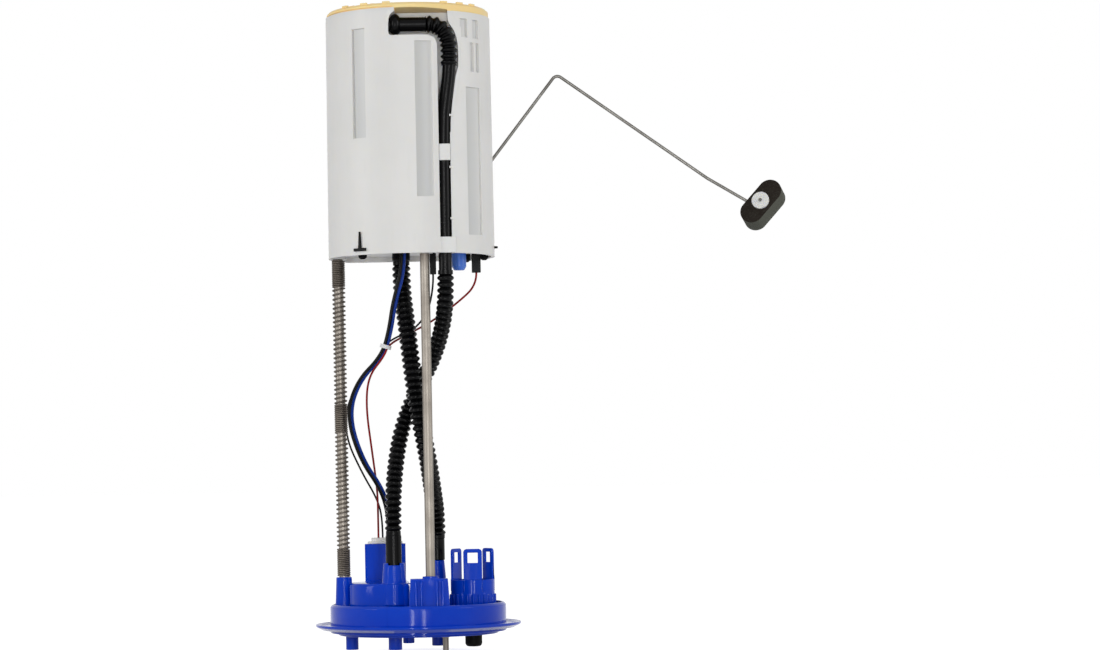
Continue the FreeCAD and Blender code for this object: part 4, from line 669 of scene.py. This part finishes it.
    def placed(self, matrix: Matrix) -> "Form":
        """Moves everything built so far."""
        bmesh.ops.transform(self.bm, matrix=matrix, verts=self.bm.verts)
        return self

    def mesh(self, name: str) -> bpy.types.Mesh:
        """Uses the form up for a mesh in metres."""
        bmesh.ops.scale(self.bm, vec=(MM, MM, MM), verts=self.bm.verts)
        mesh = bpy.data.meshes.new(name)
        self.bm.to_mesh(mesh)
        self.bm.free()
        return mesh

    def finish(
        self, name: str, finish: Finish, body: Body | None, *nodes: str, smooth: float = 32.0,
    ) -> bpy.types.Object:
        """Turns the form into a finished piece, dressed and riding on its body.

        Args:
            name: the piece's name.
            finish: what it is made of.
            body: the body that it rides on, or none if it is joined to bodies later.
            nodes: the solids that it stands for.
            smooth: the angle in degrees up to which edges are shaded round.

        Returns:
            The piece.
        """
        mesh = self.mesh(name)
        mesh.polygons.foreach_set("use_smooth", [True] * len(mesh.polygons))
        mesh.set_sharp_from_angle(angle=math.radians(smooth))
        mesh.materials.append(finish.material())
        piece = linked(name, mesh)
        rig.slot(piece, finish.slot)
        if nodes:
            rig.replaces(piece, *nodes)
        if body:
            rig.ride(piece, body.value)
        LOG.info("%s: %d faces", name, len(mesh.polygons))
        return piece


class Line:
    """A smooth centre line read from a route's spline, with a frame at every distance."""

    def __init__(self, route: Sequence[Spot]) -> None:
        """Runs a smooth spline along the route's control points, in millimetres."""
        curve = bpy.data.curves.new("route", "CURVE")
        curve.dimensions = "3D"
        curve.resolution_u = 16
        spline = curve.splines.new("NURBS")
        spline.points.add(len(route) - 1)
        for point, spot in zip(spline.points, route):
            point.co = (*spot, 1.0)
        spline.order_u = 3
        spline.use_endpoint_u = True
        holder = bpy.data.objects.new("route", curve)
        mesh = bpy.data.meshes.new_from_object(holder)
        self.points = [vert.co.copy() for vert in mesh.vertices]
        bpy.data.objects.remove(holder)
        bpy.data.meshes.remove(mesh)
        bpy.data.curves.remove(curve)
        self.marks = [0.0]
        for start, end in zip(self.points, self.points[1:]):
            self.marks.append(self.marks[-1] + (end - start).length)
        self.length = self.marks[-1]
        self.turns = self._turns()

    def _turns(self) -> list[Quaternion]:
        """A rotation at each point that carries +Z along the line without twisting."""
        tangents = []
        for index in range(len(self.points)):
            before = self.points[max(index - 1, 0)]
            after = self.points[min(index + 1, len(self.points) - 1)]
            tangents.append((after - before).normalized())
        turns = [Vector((0, 0, 1)).rotation_difference(tangents[0])]
        for start, end in zip(tangents, tangents[1:]):
            turns.append(start.rotation_difference(end) @ turns[-1])
        return turns

    def frame(self, distance: float) -> Matrix:
        """The matrix that puts a ring at a distance from the start."""
        index = 0
        while index < len(self.marks) - 2 and self.marks[index + 1] < distance:
            index += 1
        run = self.marks[index + 1] - self.marks[index]
        share = min(1.0, max(0.0, (distance - self.marks[index]) / run))
        spot = self.points[index].lerp(self.points[index + 1], share)
        turn = self.turns[index].slerp(self.turns[index + 1], share)
        return Matrix.Translation(spot) @ turn.to_matrix().to_4x4()

    def metres(self) -> list[tuple[float, ...]]:
        """The line's points in metres."""
        return [tuple(point * MM) for point in self.points]


FLAT_JOINT = 0.3
ROUNDED_FROM = 38.0
FACE_WEIGHT = 80


def softened_copy(
    name: str, node: str, finish: Finish, body: Body, width: float,
    detail: Callable[[Form], None] | None = None, careful: bool = False,
) -> None:
    """Stands a copy of a solid in for it, with its faces joined and its edges rounded.

    Args:
        name: the piece's name.
        node: the solid.
        finish: what it is made of.
        body: the body that it rides on.
        width: the rounding's width in millimetres.
        detail: adds fine detail before the rounding.
        careful: rounds no edge by more than the shortest edge allows.
    """
    form = Form()
    form.bm.from_mesh(bpy.data.objects[node].data)
    bmesh.ops.scale(form.bm, vec=(1 / MM, 1 / MM, 1 / MM), verts=form.bm.verts)
    bmesh.ops.remove_doubles(form.bm, verts=form.bm.verts, dist=1e-3)
    if detail:
        detail(form)
    bmesh.ops.dissolve_limit(
        form.bm, angle_limit=math.radians(FLAT_JOINT), verts=form.bm.verts, edges=form.bm.edges,
        use_dissolve_boundaries=False, delimit=set(),
    )
    piece = form.finish(name, finish, body, node)
    bevel = piece.modifiers.new("rounded", "BEVEL")
    bevel.width = width * MM
    bevel.segments = 2
    bevel.limit_method = "ANGLE"
    bevel.angle_limit = math.radians(ROUNDED_FROM)
    bevel.use_clamp_overlap = careful
    normals = piece.modifiers.new("even", "WEIGHTED_NORMAL")
    normals.weight = FACE_WEIGHT
    normals.keep_sharp = True


@dataclass
class Cord:
    """A hose or wire that runs from the reservoir down to the flange."""

    name: str
    node: str
    route: tuple[Spot, ...]
    radius: float
    finish: Finish
    stiffness: Stiffness = Stiffness.MEDIUM
    spacing: float = 1.6
    sides: int = 16
    far_pieces: tuple[str, ...] = ()

    def width(self, length: float) -> Callable[[float], float]:
        """The radius along the cord, as a function of the distance."""
        return lambda distance: self.radius

    def build(self) -> None:
        """Builds the cord and stretches it between its two bodies."""
        line = Line(self.route)
        form = Form()
        form.sweep(line, self.width(line.length), self.spacing, self.sides)
        piece = form.finish(self.name, self.finish, None, self.node, smooth=ROUND_SHADING)
        start = tuple(level * MM for level in self.route[0])
        end = tuple(level * MM for level in self.route[-1])
        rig.cord(
            piece, exit=start, length=line.length * MM, diameter=2 * self.radius * MM,
            far_end="object", stiffness=self.stiffness.value, lay="hanging", path=line.metres(),
            with_pieces=self.far_pieces,
        )
        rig.blend(piece, Body.FLANGE.value, Body.RESERVOIR.value, start=(0, 0, end[2]), end=(0, 0, start[2]))


@dataclass
class CorrugatedHose(Cord):
    """A hose whose wall is folded in rings, with smooth ends."""

    pitch: float = 4.25
    depth: float = 1.9
    crest: float = 0.55
    smooth_start: float = 3.0
    smooth_end: float = 3.0
    end_share: float = 0.35

    def width(self, length: float) -> Callable[[float], float]:
        """Round crests and narrow grooves between the smooth ends."""

        def radius(distance: float) -> float:
            if distance < self.smooth_start or distance > length - self.smooth_end:
                return self.radius - self.depth * self.end_share
            wave = 0.5 - 0.5 * math.cos(math.tau * (distance - self.smooth_start) / self.pitch)
            return self.radius - self.depth * (1 - wave ** self.crest)

        return radius


HOSE_A_ROUTE: tuple[Spot, ...] = (
    (-7.3, -8, 247), (-7.3, -8, 228), (-4.6, -16, 206), (-1.8, -21.5, 178), (1.8, -21.5, 148),
    (8, -14, 116), (11.5, 0, 90), (13.6, 15, 72), (13.6, 15, 58),
)
HOSE_B_ROUTE: tuple[Spot, ...] = (
    (22.3, -46.5, 238), (22.3, -46.5, 222), (20.4, -33, 203), (14.8, -20, 184), (6.5, -9.5, 167),
    (-3.5, -6, 149), (-10.8, -10.5, 127), (-14.6, -21, 101), (-15.8, -30, 80), (-15.8, -30, 61.5),
)
WIRE_PAIR_ROUTE: tuple[Spot, ...] = (
    (-5.9, -21.8, 255.5), (-5.9, -21.8, 240), (-12.5, -20.5, 219), (-15.5, -20, 200),
    (-20.5, -19.5, 183), (-38, -13.5, 166), (-45.5, -7, 143), (-37, -3, 113), (-23, 8, 92),
    (-18.5, 24, 73), (-18.5, 24, 58.9),
)
RED_WIRE_ROUTE: tuple[Spot, ...] = (
    (44, 10, 239.5), (44, 10, 231), (31, 5, 219), (13, -1.5, 206), (-5.5, -8, 196.5),
    (-16.9, -21.2, 190), (-20, -20.6, 182), (-31, -15.5, 169), (-33, -8, 148), (-29.5, 1, 118),
    (-26.5, 13, 92), (-26.5, 24, 74), (-26.5, 24, 58.9),
)
THIN_WIRE_ROUTE: tuple[Spot, ...] = (
    (14.2, -20, 237), (14.2, -20, 228), (10, -13, 211), (0, -9.3, 199.8), (-10.5, -11.5, 196),
    (-20, -18.2, 190), (-23, -17.5, 182), (-36, -9, 168), (-46.5, 4, 150), (-47.5, 9.5, 128),
    (-37, 15, 104), (-27, 21, 86), (-23.6, 25.5, 73), (-23.6, 25.5, 58.9),
)
SIDE_BEND_ROUTE: tuple[Spot, ...] = (
    (11.7, -47, 402.4), (18.5, -47, 402.4), (25.4, -47, 396.5), (27.8, -47, 387), (27.2, -47, 374.5),
)
SIDE_PIPE_ROUTE: tuple[Spot, ...] = (
    (27.2, -47, 374.5), (26.85, -47, 367.2), (24.4, -47, 352), (22.3, -46.5, 333), (22.3, -46.5, 238),
)
SIDE_BEND_RADIUS = 5.85
SIDE_PIPE_RADIUS = 4.4
LEFT_ROD = (-50.2, 0.0)


def shifted(route: Sequence[Spot], x: float, y: float) -> tuple[Spot, ...]:
    """The route moved sideways."""
    return tuple((spot[0] + x, spot[1] + y, spot[2]) for spot in route)


@dataclass
class Harness:
    """The hoses and wires between the reservoir and the flange."""

    cords: list[Cord] = field(default_factory=lambda: [
        CorrugatedHose(
            "supply_hose", "hose_a", HOSE_A_ROUTE, 6.3, HOSE, Stiffness.STIFF, 0.53, 40, ("pump_cuff", "supply_cuff"),
        ),
        CorrugatedHose("return_hose", "hose_b", HOSE_B_ROUTE, 5.7, HOSE, Stiffness.STIFF, 0.53, 40, ("return_cuff",)),
        Cord("pump_wire_blue", "wire_blue", shifted(WIRE_PAIR_ROUTE, 1.0, 1.05), 1.1, BLUE_WIRE),
        Cord("pump_wire_black", "wire_black", shifted(WIRE_PAIR_ROUTE, -1.0, -1.05), 1.1, BLACK_WIRE),
        Cord("sender_wire_red", "wire_red", RED_WIRE_ROUTE, 0.7, RED_WIRE, Stiffness.LIMP),
        Cord("ground_wire_black", "wire_thin_black", THIN_WIRE_ROUTE, 0.65, BLACK_WIRE, Stiffness.LIMP),
    ])

    def build(self) -> None:
        """Builds every cord."""
        for cord in self.cords:
            cord.build()


@dataclass
class ReturnSpring:
    """The spring round the left guide rod: close coils at its ends and middle, open coils between."""

    centre: tuple[float, float] = LEFT_ROD
    low: float = 33.0
    high: float = 249.5
    radius: float = 3.98
    wire: float = 1.2
    close_length: float = 19.0
    close_pitch: float = 1.015
    open_turns: int = 26
    steps: int = 20
    sides: int = 8

    def build(self) -> None:
        """Winds the wire stretch by stretch and stretches it between the flange and the reservoir."""
        form = Form()
        x, y = self.centre
        start = Matrix.Translation((x + self.radius, y, self.low + self.wire / 2))
        upright = Matrix.Rotation(math.pi / 2, 4, "X")
        ring = bmesh.ops.create_circle(
            form.bm, cap_ends=False, segments=self.sides, radius=self.wire / 2, matrix=start @ upright,
        )["verts"]
        geom = ring + list({edge for vert in ring for edge in vert.link_edges})
        first = only(bmesh.types.BMEdge, geom)
        open_length = (self.high - self.low - 3 * self.close_length) / 2
        close_turns = (self.close_length - self.wire) / (self.wire * self.close_pitch)
        end_stretch = (close_turns, self.close_length - self.wire / 2)
        open_stretch = (self.open_turns, open_length)
        stretches = (end_stretch, open_stretch, (close_turns, self.close_length), open_stretch, end_stretch)
        for turns, length in stretches:
            steps = round(turns * self.steps)
            wound = bmesh.ops.spin(
                form.bm, geom=geom, cent=(x, y, 0), axis=(0, 0, 1), dvec=(0, 0, length / steps),
                angle=math.tau * turns, steps=steps, use_merge=False,
            )
            geom = wound["geom_last"]
        for loop in (first, only(bmesh.types.BMEdge, geom)):
            bmesh.ops.edgeloop_fill(form.bm, edges=loop)
        bmesh.ops.recalc_face_normals(form.bm, faces=form.bm.faces)
        piece = form.finish("return_spring", SPRING, None, "spring", smooth=ROUND_SHADING)
        end = (x * MM, y * MM, self.high * MM)
        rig.blend(piece, Body.FLANGE.value, Body.RESERVOIR.value, start=(x * MM, y * MM, self.low * MM), end=end)


@dataclass
class Flange:
    """The blue plug flange with its tower, nozzles, posts and vent cup."""

    edge: float = 0.45
    chamber_middle: tuple[float, float] = (-17.0, -8.0)
    chamber_radius: float = 29.5
    chamber_turns: tuple[float, float] = (-90.0, 21.3)
    chamber_steps: int = 36
    chamber_back: float = 4.0
    chamber_rings: tuple[tuple[float, float], ...] = ((12.6, 0.0), (26.9, 0.0), (28.2, 0.35), (29.0, 1.1), (29.3, 2.3))

    def build(self) -> None:
        """Builds the flange and the small pieces that it carries."""
        softened_copy("plug_flange", "flange", BLUE, Body.FLANGE, self.edge)
        self.chamber()
        for name, node, finish, width in (
            ("vent_cup_blue", "vent_cup", BLUE, 0.3), ("tower_plug", "harness_plug", WHITE, 0.4),
            ("boot", "vent_boot", RUBBER, 0.8), ("vapour_tube", "steel_line", STEEL, 0.25),
            ("supply_hose_end", "supply_cuff", HOSE, 0.5), ("return_hose_end", "return_cuff", HOSE, 0.5),
        ):
            softened_copy(name, node, finish, Body.FLANGE, width)

    def chamber(self) -> None:
        """Builds the round front of the chamber that the tower and the supply nozzle stand on."""
        x, y = self.chamber_middle
        back = y + self.chamber_back
        start, end = (math.radians(turn) for turn in self.chamber_turns)
        turns = [start + (end - start) * step / self.chamber_steps for step in range(self.chamber_steps + 1)]
        rings = []
        for z, inset in self.chamber_rings:
            radius = self.chamber_radius - inset
            arc = [(x + radius * math.sin(turn), y - radius * math.cos(turn), z) for turn in turns]
            rings.append(arc + [(arc[-1][0], back, z), (arc[0][0], back, z)])
        front = Form()
        front.loft(rings)
        front.finish("chamber_front", BLUE, Body.FLANGE)


@dataclass(frozen=True)
class Slot:
    """A shallow recess with a flat floor in the round wall of the reservoir."""

    turn: float
    low: float
    high: float
    width: float

    def across(self, spot: Vector) -> float:
        """Where a point lies between the slot's left (-1) and right side (1)."""
        turn = math.atan2(spot.x, -spot.y) - math.radians(self.turn)
        return math.hypot(spot.x, spot.y) * math.sin(turn) / (self.width / 2)

    def holds(self, spot: Vector) -> bool:
        """Whether a point of the wall lies within the slot's outline."""
        return abs(self.across(spot)) < 1.02 and self.low - 0.1 < spot.z < self.high + 0.1


@dataclass
class Reservoir:
    """The white reservoir with its end cap, side hose and clips."""

    edge: float = 0.5
    top: float = 411.0
    foot: float = 249.5
    foot_radius: float = 56.6
    taper: float = 0.8
    sunk: float = 0.09
    behind: float = -39.3
    hose_gap: float = 0.3
    slots: tuple[Slot, ...] = (
        Slot(-36.7, 327.4, 400.5, 10.6), Slot(10.3, 287.0, 390.5, 11.6), Slot(42.2, 394.0, 406.5, 6.6),
        Slot(54.5, 394.0, 406.5, 6.6), Slot(49.8, 371.5, 391.0, 4.0), Slot(56.5, 371.5, 391.0, 3.4),
        Slot(50.5, 262.0, 361.0, 14.6),
    )
    nubs: tuple[tuple[float, float], ...] = ((28.0, 341.2), (27.5, 306.6), (27.6, 272.5))
    nub_size: Spot = (2.6, 1.5, 1.3)
    nub_depth: float = -49.55
    lip: tuple[float, float, float, float] = (55.15, 55.72, -88.0, -9.2)
    groove: tuple[float, float, float, float] = (54.2, 56.0, -89.0, -10.2)
    lugs: tuple[float, ...] = (-51.4, -33.0, -15.3, 27.0, 40.9, 54.2)
    lug_half: float = 2.6
    relief_radius: float = 3.35
    relief_heights: tuple[float, float] = (316.0, 379.5)
    dome_centre: Spot = (-8.4, -47.0, 402.4)
    dome_size: Spot = (4.4, 7.15, 7.15)
    nook: Outline = (
        (-13.4, 402.6), (-12.85, 402.6), (-12.6, 405.6), (-11.9, 407.7), (-10.6, 409.4), (-8.4, 410.9), (-13.4, 410.9),
    )
    brow: tuple[tuple[float, float, float], ...] = (
        (329.6, 26.6, 29.6), (337, 27.0, 30.5), (344, 27.0, 31.5), (352, 27.0, 32.6), (360, 27.0, 33.8),
        (367, 27.0, 34.8), (374, 27.0, 35.8), (382, 27.0, 35.8), (388, 27.0, 35.8), (392, 27.0, 35.8),
        (395.5, 27.0, 35.8), (398, 27.0, 35.8), (400, 27.0, 35.8), (402, 27.0, 34.7), (404.5, 27.0, 33.3),
        (410.9, 26.6, 29.9),
    )

    def build(self) -> None:
        """Builds the shell, the cap and what is fixed to them."""
        body = Body.RESERVOIR
        softened_copy("reservoir_white", "reservoir_shell", WHITE, body, self.edge, self.shell_detail, careful=True)
        softened_copy("cream_cap", "end_cap", CREAM, body, self.edge, self.cap_detail, careful=True)
        for name, node, finish, width in (
            ("carrier_plate", "carrier", WHITE, 0.4), ("side_clip_white", "pipe_clip", WHITE, 0.4),
            ("foot_clip_black", "foot_clip", BLACK, 0.25), ("pump_hose_end", "pump_cuff", HOSE, 0.5),
            ("valve_blue", "relief_valve", VALVE, 0.5), ("bumpers", "rubber_bumpers", RUBBER, 0.3),
            ("plug_black_wide", "sender_connector", BLACK, 0.4), ("plug_black_narrow", "pump_connector", BLACK, 0.4),
            ("plug_white", "lead_connector", WHITE, 0.4),
        ):
            softened_copy(name, node, finish, body, width)
        self.side_hose()
        self.small_pieces()

    def shell_detail(self, form: Form) -> None:
        """The wall beside the side hose, the lip, the nubs, the relief for the left rod and the painted shade on the
        slots' floors.
        """
        rings = []
        for z, left, right in self.brow:
            left = max(left, self.hose_edge(z) + self.hose_gap)
            rings.append([
                (left, self.behind, z), (left, self.front(left, z), z),
                (right, self.front(right, z), z), (right, self.behind, z),
            ])
        brow = Form()
        brow.loft(rings)
        form.join(brow, "UNION")
        nook = Form()
        nook.loft([[(x, y, z) for x, z in self.nook] for y in (self.behind, self.front(-11.0, 407.0))])
        form.join(nook, "UNION")
        extra = Form()
        extra.sector(*self.lip, self.top - 0.2, self.top + 2.1)
        for x, z in self.nubs:
            extra.block(self.nub_size, (x, self.nub_depth, z))
        form.join(extra, "UNION")
        relief = Form()
        low, high = ((*LEFT_ROD, z) for z in self.relief_heights)
        relief.post(self.relief_radius, self.relief_radius, low, high)
        form.join(relief, "DIFFERENCE")
        self.paint_slot_shade(form)

    def front(self, x: float, z: float) -> float:
        """Where the shell's round outer face lies in front of the axis."""
        radius = self.foot_radius - self.taper * (z - self.foot) / (self.top - self.foot) - self.sunk
        return -math.sqrt(radius ** 2 - x ** 2)

    def hose_edge(self, z: float) -> float:
        """How far to the right the side hose reaches at a height."""
        reaches = [
            point.x + math.sqrt(radius ** 2 - (point.z - z) ** 2)
            for route, radius in ((SIDE_BEND_ROUTE, SIDE_BEND_RADIUS), (SIDE_PIPE_ROUTE, SIDE_PIPE_RADIUS))
            for point in Line(route).points
            if abs(point.z - z) < radius
        ]
        return max(reaches, default=-math.inf)

    def paint_slot_shade(self, form: Form) -> None:
        """Stores painted shade on the slots' floors, darkest on their left, where the left wall's shadow falls."""
        thin = form.bm.loops.layers.float.new("thin")
        for face in form.bm.faces:
            middle = face.calc_center_median()
            share = (middle.z - self.foot) / (self.top - self.foot)
            depth = self.foot_radius - self.taper * share - math.hypot(middle.x, middle.y)
            outwards = Vector((middle.x, middle.y, 0.0)).normalized()
            if not 1.0 < depth < 2.4 or face.normal.dot(outwards) < 0.95:
                continue
            for slot in self.slots:
                if slot.holds(middle):
                    for loop in face.loops:
                        # painted shade on the slot floor, heavier towards the slot's left side
                        loop[thin] = 0.55 - 0.3 * slot.across(loop.vert.co)

    def cap_detail(self, form: Form) -> None:
        """The open underside over the recess, the groove over the shell's lip and the lugs on the rim."""
        cut = Form()
        under = ((-57.0, self.top + 2.3), (-42.0, self.top - 0.1), (-57.0, self.top - 1.0))
        cut.loft([[(x, y, z) for y, z in under] for x in (-8.6, 26.5)])
        cut.sector(*self.groove, self.top + 2.1, self.top + 2.9)
        form.join(cut, "DIFFERENCE")
        lugs = Form()
        for turn in self.lugs:
            lugs.sector(52.4, 54.2, turn - self.lug_half, turn + self.lug_half, self.top + 5.2, self.top + 6.5)
        form.join(lugs, "UNION")

    def side_hose(self) -> None:
        """Builds the corrugated bend and the smooth pipe."""
        bend = CorrugatedHose(
            "", "", SIDE_BEND_ROUTE, SIDE_BEND_RADIUS, HOSE,
            pitch=4.1, depth=1.7, crest=0.9, smooth_start=0.6, smooth_end=0.6,
        )
        pipe = Cord("", "", SIDE_PIPE_ROUTE, SIDE_PIPE_RADIUS, HOSE)
        for name, node, hose, spacing in (
            ("side_hose_bend", "side_bend", bend, 0.42), ("side_hose_pipe", "side_pipe", pipe, 2.0),
        ):
            line = Line(hose.route)
            form = Form()
            form.sweep(line, hose.width(line.length), spacing, 40)
            form.finish(name, HOSE, Body.RESERVOIR, node, smooth=ROUND_SHADING)

    def small_pieces(self) -> None:
        """Builds the domed end of the side hose and the pin beside the foot."""
        dome = Form()
        place = Matrix.Translation(self.dome_centre) @ Matrix.Diagonal((*self.dome_size, 1.0))
        bmesh.ops.create_uvsphere(dome.bm, u_segments=48, v_segments=32, radius=1.0, matrix=place)
        dome.finish("side_hose_dome", HOSE, Body.RESERVOIR, "hose_grommet", smooth=ROUND_SHADING)
        pin = Form()
        pin.post(0.9, 0.75, (55.4, -6.0, 255.5), (58.6, -6.0, 255.5), 24)
        pin.soften(0.25)
        pin.finish("stop_pin", BLACK, Body.RESERVOIR)


@dataclass
class Float:
    """The foam float on its wire, with the push-on washer in front."""

    face: Spot = FLOAT_FACE
    inwards: Spot = FLOAT_INWARDS
    along: Spot = (0.664, 0.026, 0.748)
    length: float = 35.0
    width: float = 16.5
    thickness: float = 17.0

    def place(self) -> Matrix:
        """Where the face's centre lies and how it is turned."""
        inwards = Vector(self.inwards).normalized()
        along = Vector(self.along).normalized()
        across = inwards.cross(along).normalized()
        turn = Matrix((along, across, inwards)).transposed().to_4x4()
        return Matrix.Translation(self.face) @ turn

    def build(self) -> None:
        """Builds the float from a round that is drawn out to a stadium."""
        form = Form()
        round_face = bmesh.ops.create_circle(form.bm, cap_ends=True, segments=64, radius=self.width / 2)["verts"]
        half = (self.length - self.width) / 2
        for side in (-1, 1):
            end = [vert for vert in round_face if vert.co.x * side > 1e-4]
            bmesh.ops.translate(form.bm, vec=(half * side, 0, 0), verts=end)
        form.thicken(form.bm.faces, self.thickness)
        form.soften(0.5)
        form.placed(self.place()).finish("float_body", FOAM, Body.FLOAT, "float")


@dataclass
class Carried:
    """The solids that keep their own shape and only get a finish."""

    finishes: dict[str, Finish] = field(default_factory=lambda: {
        "guide_rod_left": STEEL, "guide_rod_front": STEEL, "stop_ring": SPRING, "connector_pins": BRASS,
        "cable_tie": WHITE, "pump_can": STEEL, "pump_outlet_cap": BLACK, "pump_casing": ALUMINIUM,
        "pump_inlet_cap": ALUMINIUM, "magnets": MAGNET, "pump_sleeve": RUBBER, "strainer": GAUZE,
        "jet_pump": BLACK, "inlet_valve": RUBBER, "side_elbow": HOSE, "sender_frame": BLACK,
        "resistor_card": CARD, "armature": CORE, "impeller": BLACK, "float_arm": ARM,
        "wiper_hub": BLACK, "wiper": BRASS, "float_washer": WHITE,
    })

    def build(self) -> None:
        """Puts each finish in its solid's material slots."""
        for node, finish in self.finishes.items():
            solid = bpy.data.objects[node]
            solid.data.materials.clear()
            solid.data.materials.append(finish.material())
            LOG.info("%s: %s", node, finish.name)


@dataclass
class Studio:
    """Camera, floor, world and lamps."""

    photo_width: int = 1100
    sensor: float = 36
    lens_pixels: float = 3200
    right_pixels: float = 134.3
    rise_pixels: float = 145
    eye: Spot = (0.0, -2182.0, 105.1)
    roll: float = -1.06
    floor_height: float = -20.1
    floor_front: float = 330.0
    floor_half: float = 9000.0
    floor_glow: float = 0.8
    world_light: float = 0.28
    aim: Spot = (0, 0, 200)
    lamps: tuple[tuple[str, Spot, float, float, float], ...] = (
        ("left", (-1600, -750, 700), 600, 900, 11.0), ("right", (1300, -500, 600), 600, 900, 6.5),
        ("strip_left", (-276, -2165, 200), 120, 1000, 9.0), ("strip_right", (276, -2165, 200), 120, 1000, 9.0),
    )

    def build(self) -> None:
        """Sets the scene up round the part."""
        self.camera()
        self.floor()
        self.world()
        for lamp in self.lamps:
            self.lamp(*lamp)
        bpy.context.scene.view_settings.view_transform = "Standard"

    def camera(self) -> None:
        """A long lens level with the hoses, shifted to frame the part as the picture's crop does."""
        data = bpy.data.cameras.new("camera")
        data.sensor_width = self.sensor
        data.lens = self.lens_pixels / self.photo_width * self.sensor
        data.shift_x = self.right_pixels / self.photo_width
        data.shift_y = self.rise_pixels / self.photo_width
        data.clip_end = 50
        camera = linked("camera", data)
        turn = Matrix.Rotation(math.pi / 2, 4, "X") @ Matrix.Rotation(math.radians(self.roll), 4, "Z")
        camera.matrix_world = Matrix.Translation(Vector(self.eye) * MM) @ turn
        bpy.context.scene.camera = camera

    def floor(self) -> None:
        """A wide pale floor that shows white but keeps the shadow."""
        form = Form()
        plate = bmesh.ops.create_grid(form.bm, x_segments=8, y_segments=8, size=self.floor_half)["verts"]
        bmesh.ops.translate(form.bm, vec=(0, self.floor_half - self.floor_front, self.floor_height), verts=plate)
        floor = linked("studio_floor", form.mesh("studio_floor"))
        graph = Surface("studio_floor")
        graph.shade(Base_Color=(0.8, 0.8, 0.8), Roughness=0.9, Specular_IOR_Level=0.0)
        strength = graph.seen_directly() * self.floor_glow
        glow = graph.add("ShaderNodeEmission", inputs={"Color": (1.0, 1.0, 1.0), "Strength": strength})
        both = graph.add("ShaderNodeAddShader", inputs={0: graph.shader.outputs[0], 1: glow.outputs[0]})
        graph.feed(graph.output.inputs["Surface"], both.outputs[0])
        floor.data.materials.append(graph.material)
        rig.stage(floor)

    def world(self) -> None:
        """White where it is seen, and a soft even light elsewhere."""
        world = bpy.data.worlds.new("studio")
        bpy.context.scene.world = world
        graph = Graph(world)
        soft = graph.add("ShaderNodeBackground", inputs={"Color": (1.0, 1.0, 1.0), "Strength": self.world_light})
        white = graph.add("ShaderNodeBackground", inputs={"Color": (1.0, 1.0, 1.0), "Strength": 1.0})
        inputs = {"Fac": graph.seen_directly(), 1: soft.outputs[0], 2: white.outputs[0]}
        mixed = graph.add("ShaderNodeMixShader", inputs=inputs)
        graph.add("ShaderNodeOutputWorld", inputs={"Surface": mixed.outputs[0]})

    def lamp(self, name: str, spot: Spot, width: float, height: float, power: float) -> None:
        """A soft upright lamp that looks at the part.

        Args:
            name: the lamp's name.
            spot: where it hangs.
            width: how wide it is.
            height: how tall it is.
            power: its power in watts.
        """
        data = bpy.data.lights.new(name, "AREA")
        data.shape = "RECTANGLE"
        data.size = width * MM
        data.size_y = height * MM
        data.energy = power
        lamp = linked(name, data)
        turn = (Vector(self.aim) - Vector(spot)).to_track_quat("-Z", "Y").to_matrix().to_4x4()
        lamp.matrix_world = Matrix.Translation(Vector(spot) * MM) @ turn


def corners(box: tuple[Vector, Vector]) -> list[list[float]]:
    """A box's corners as plain lists of numbers."""
    return [list(corner) for corner in box]


def main() -> None:
    """Builds the scene round the fixed frame."""
    logging.basicConfig(level=logging.INFO, format="%(name)s %(message)s")
    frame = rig.load()
    LOG.info("frame with %d solids", len(frame["nodes"]))
    cad_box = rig.bounds()
    for assembly in (Studio(), Harness(), ReturnSpring(), Flange(), Reservoir(), Float(), Carried()):
        assembly.build()
        LOG.info("%s done", type(assembly).__name__)
    with open("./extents.json", "w") as record:
        json.dump({"cad": corners(cad_box), "visual": corners(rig.bounds())}, record)


if __name__ == "__main__":
    main()
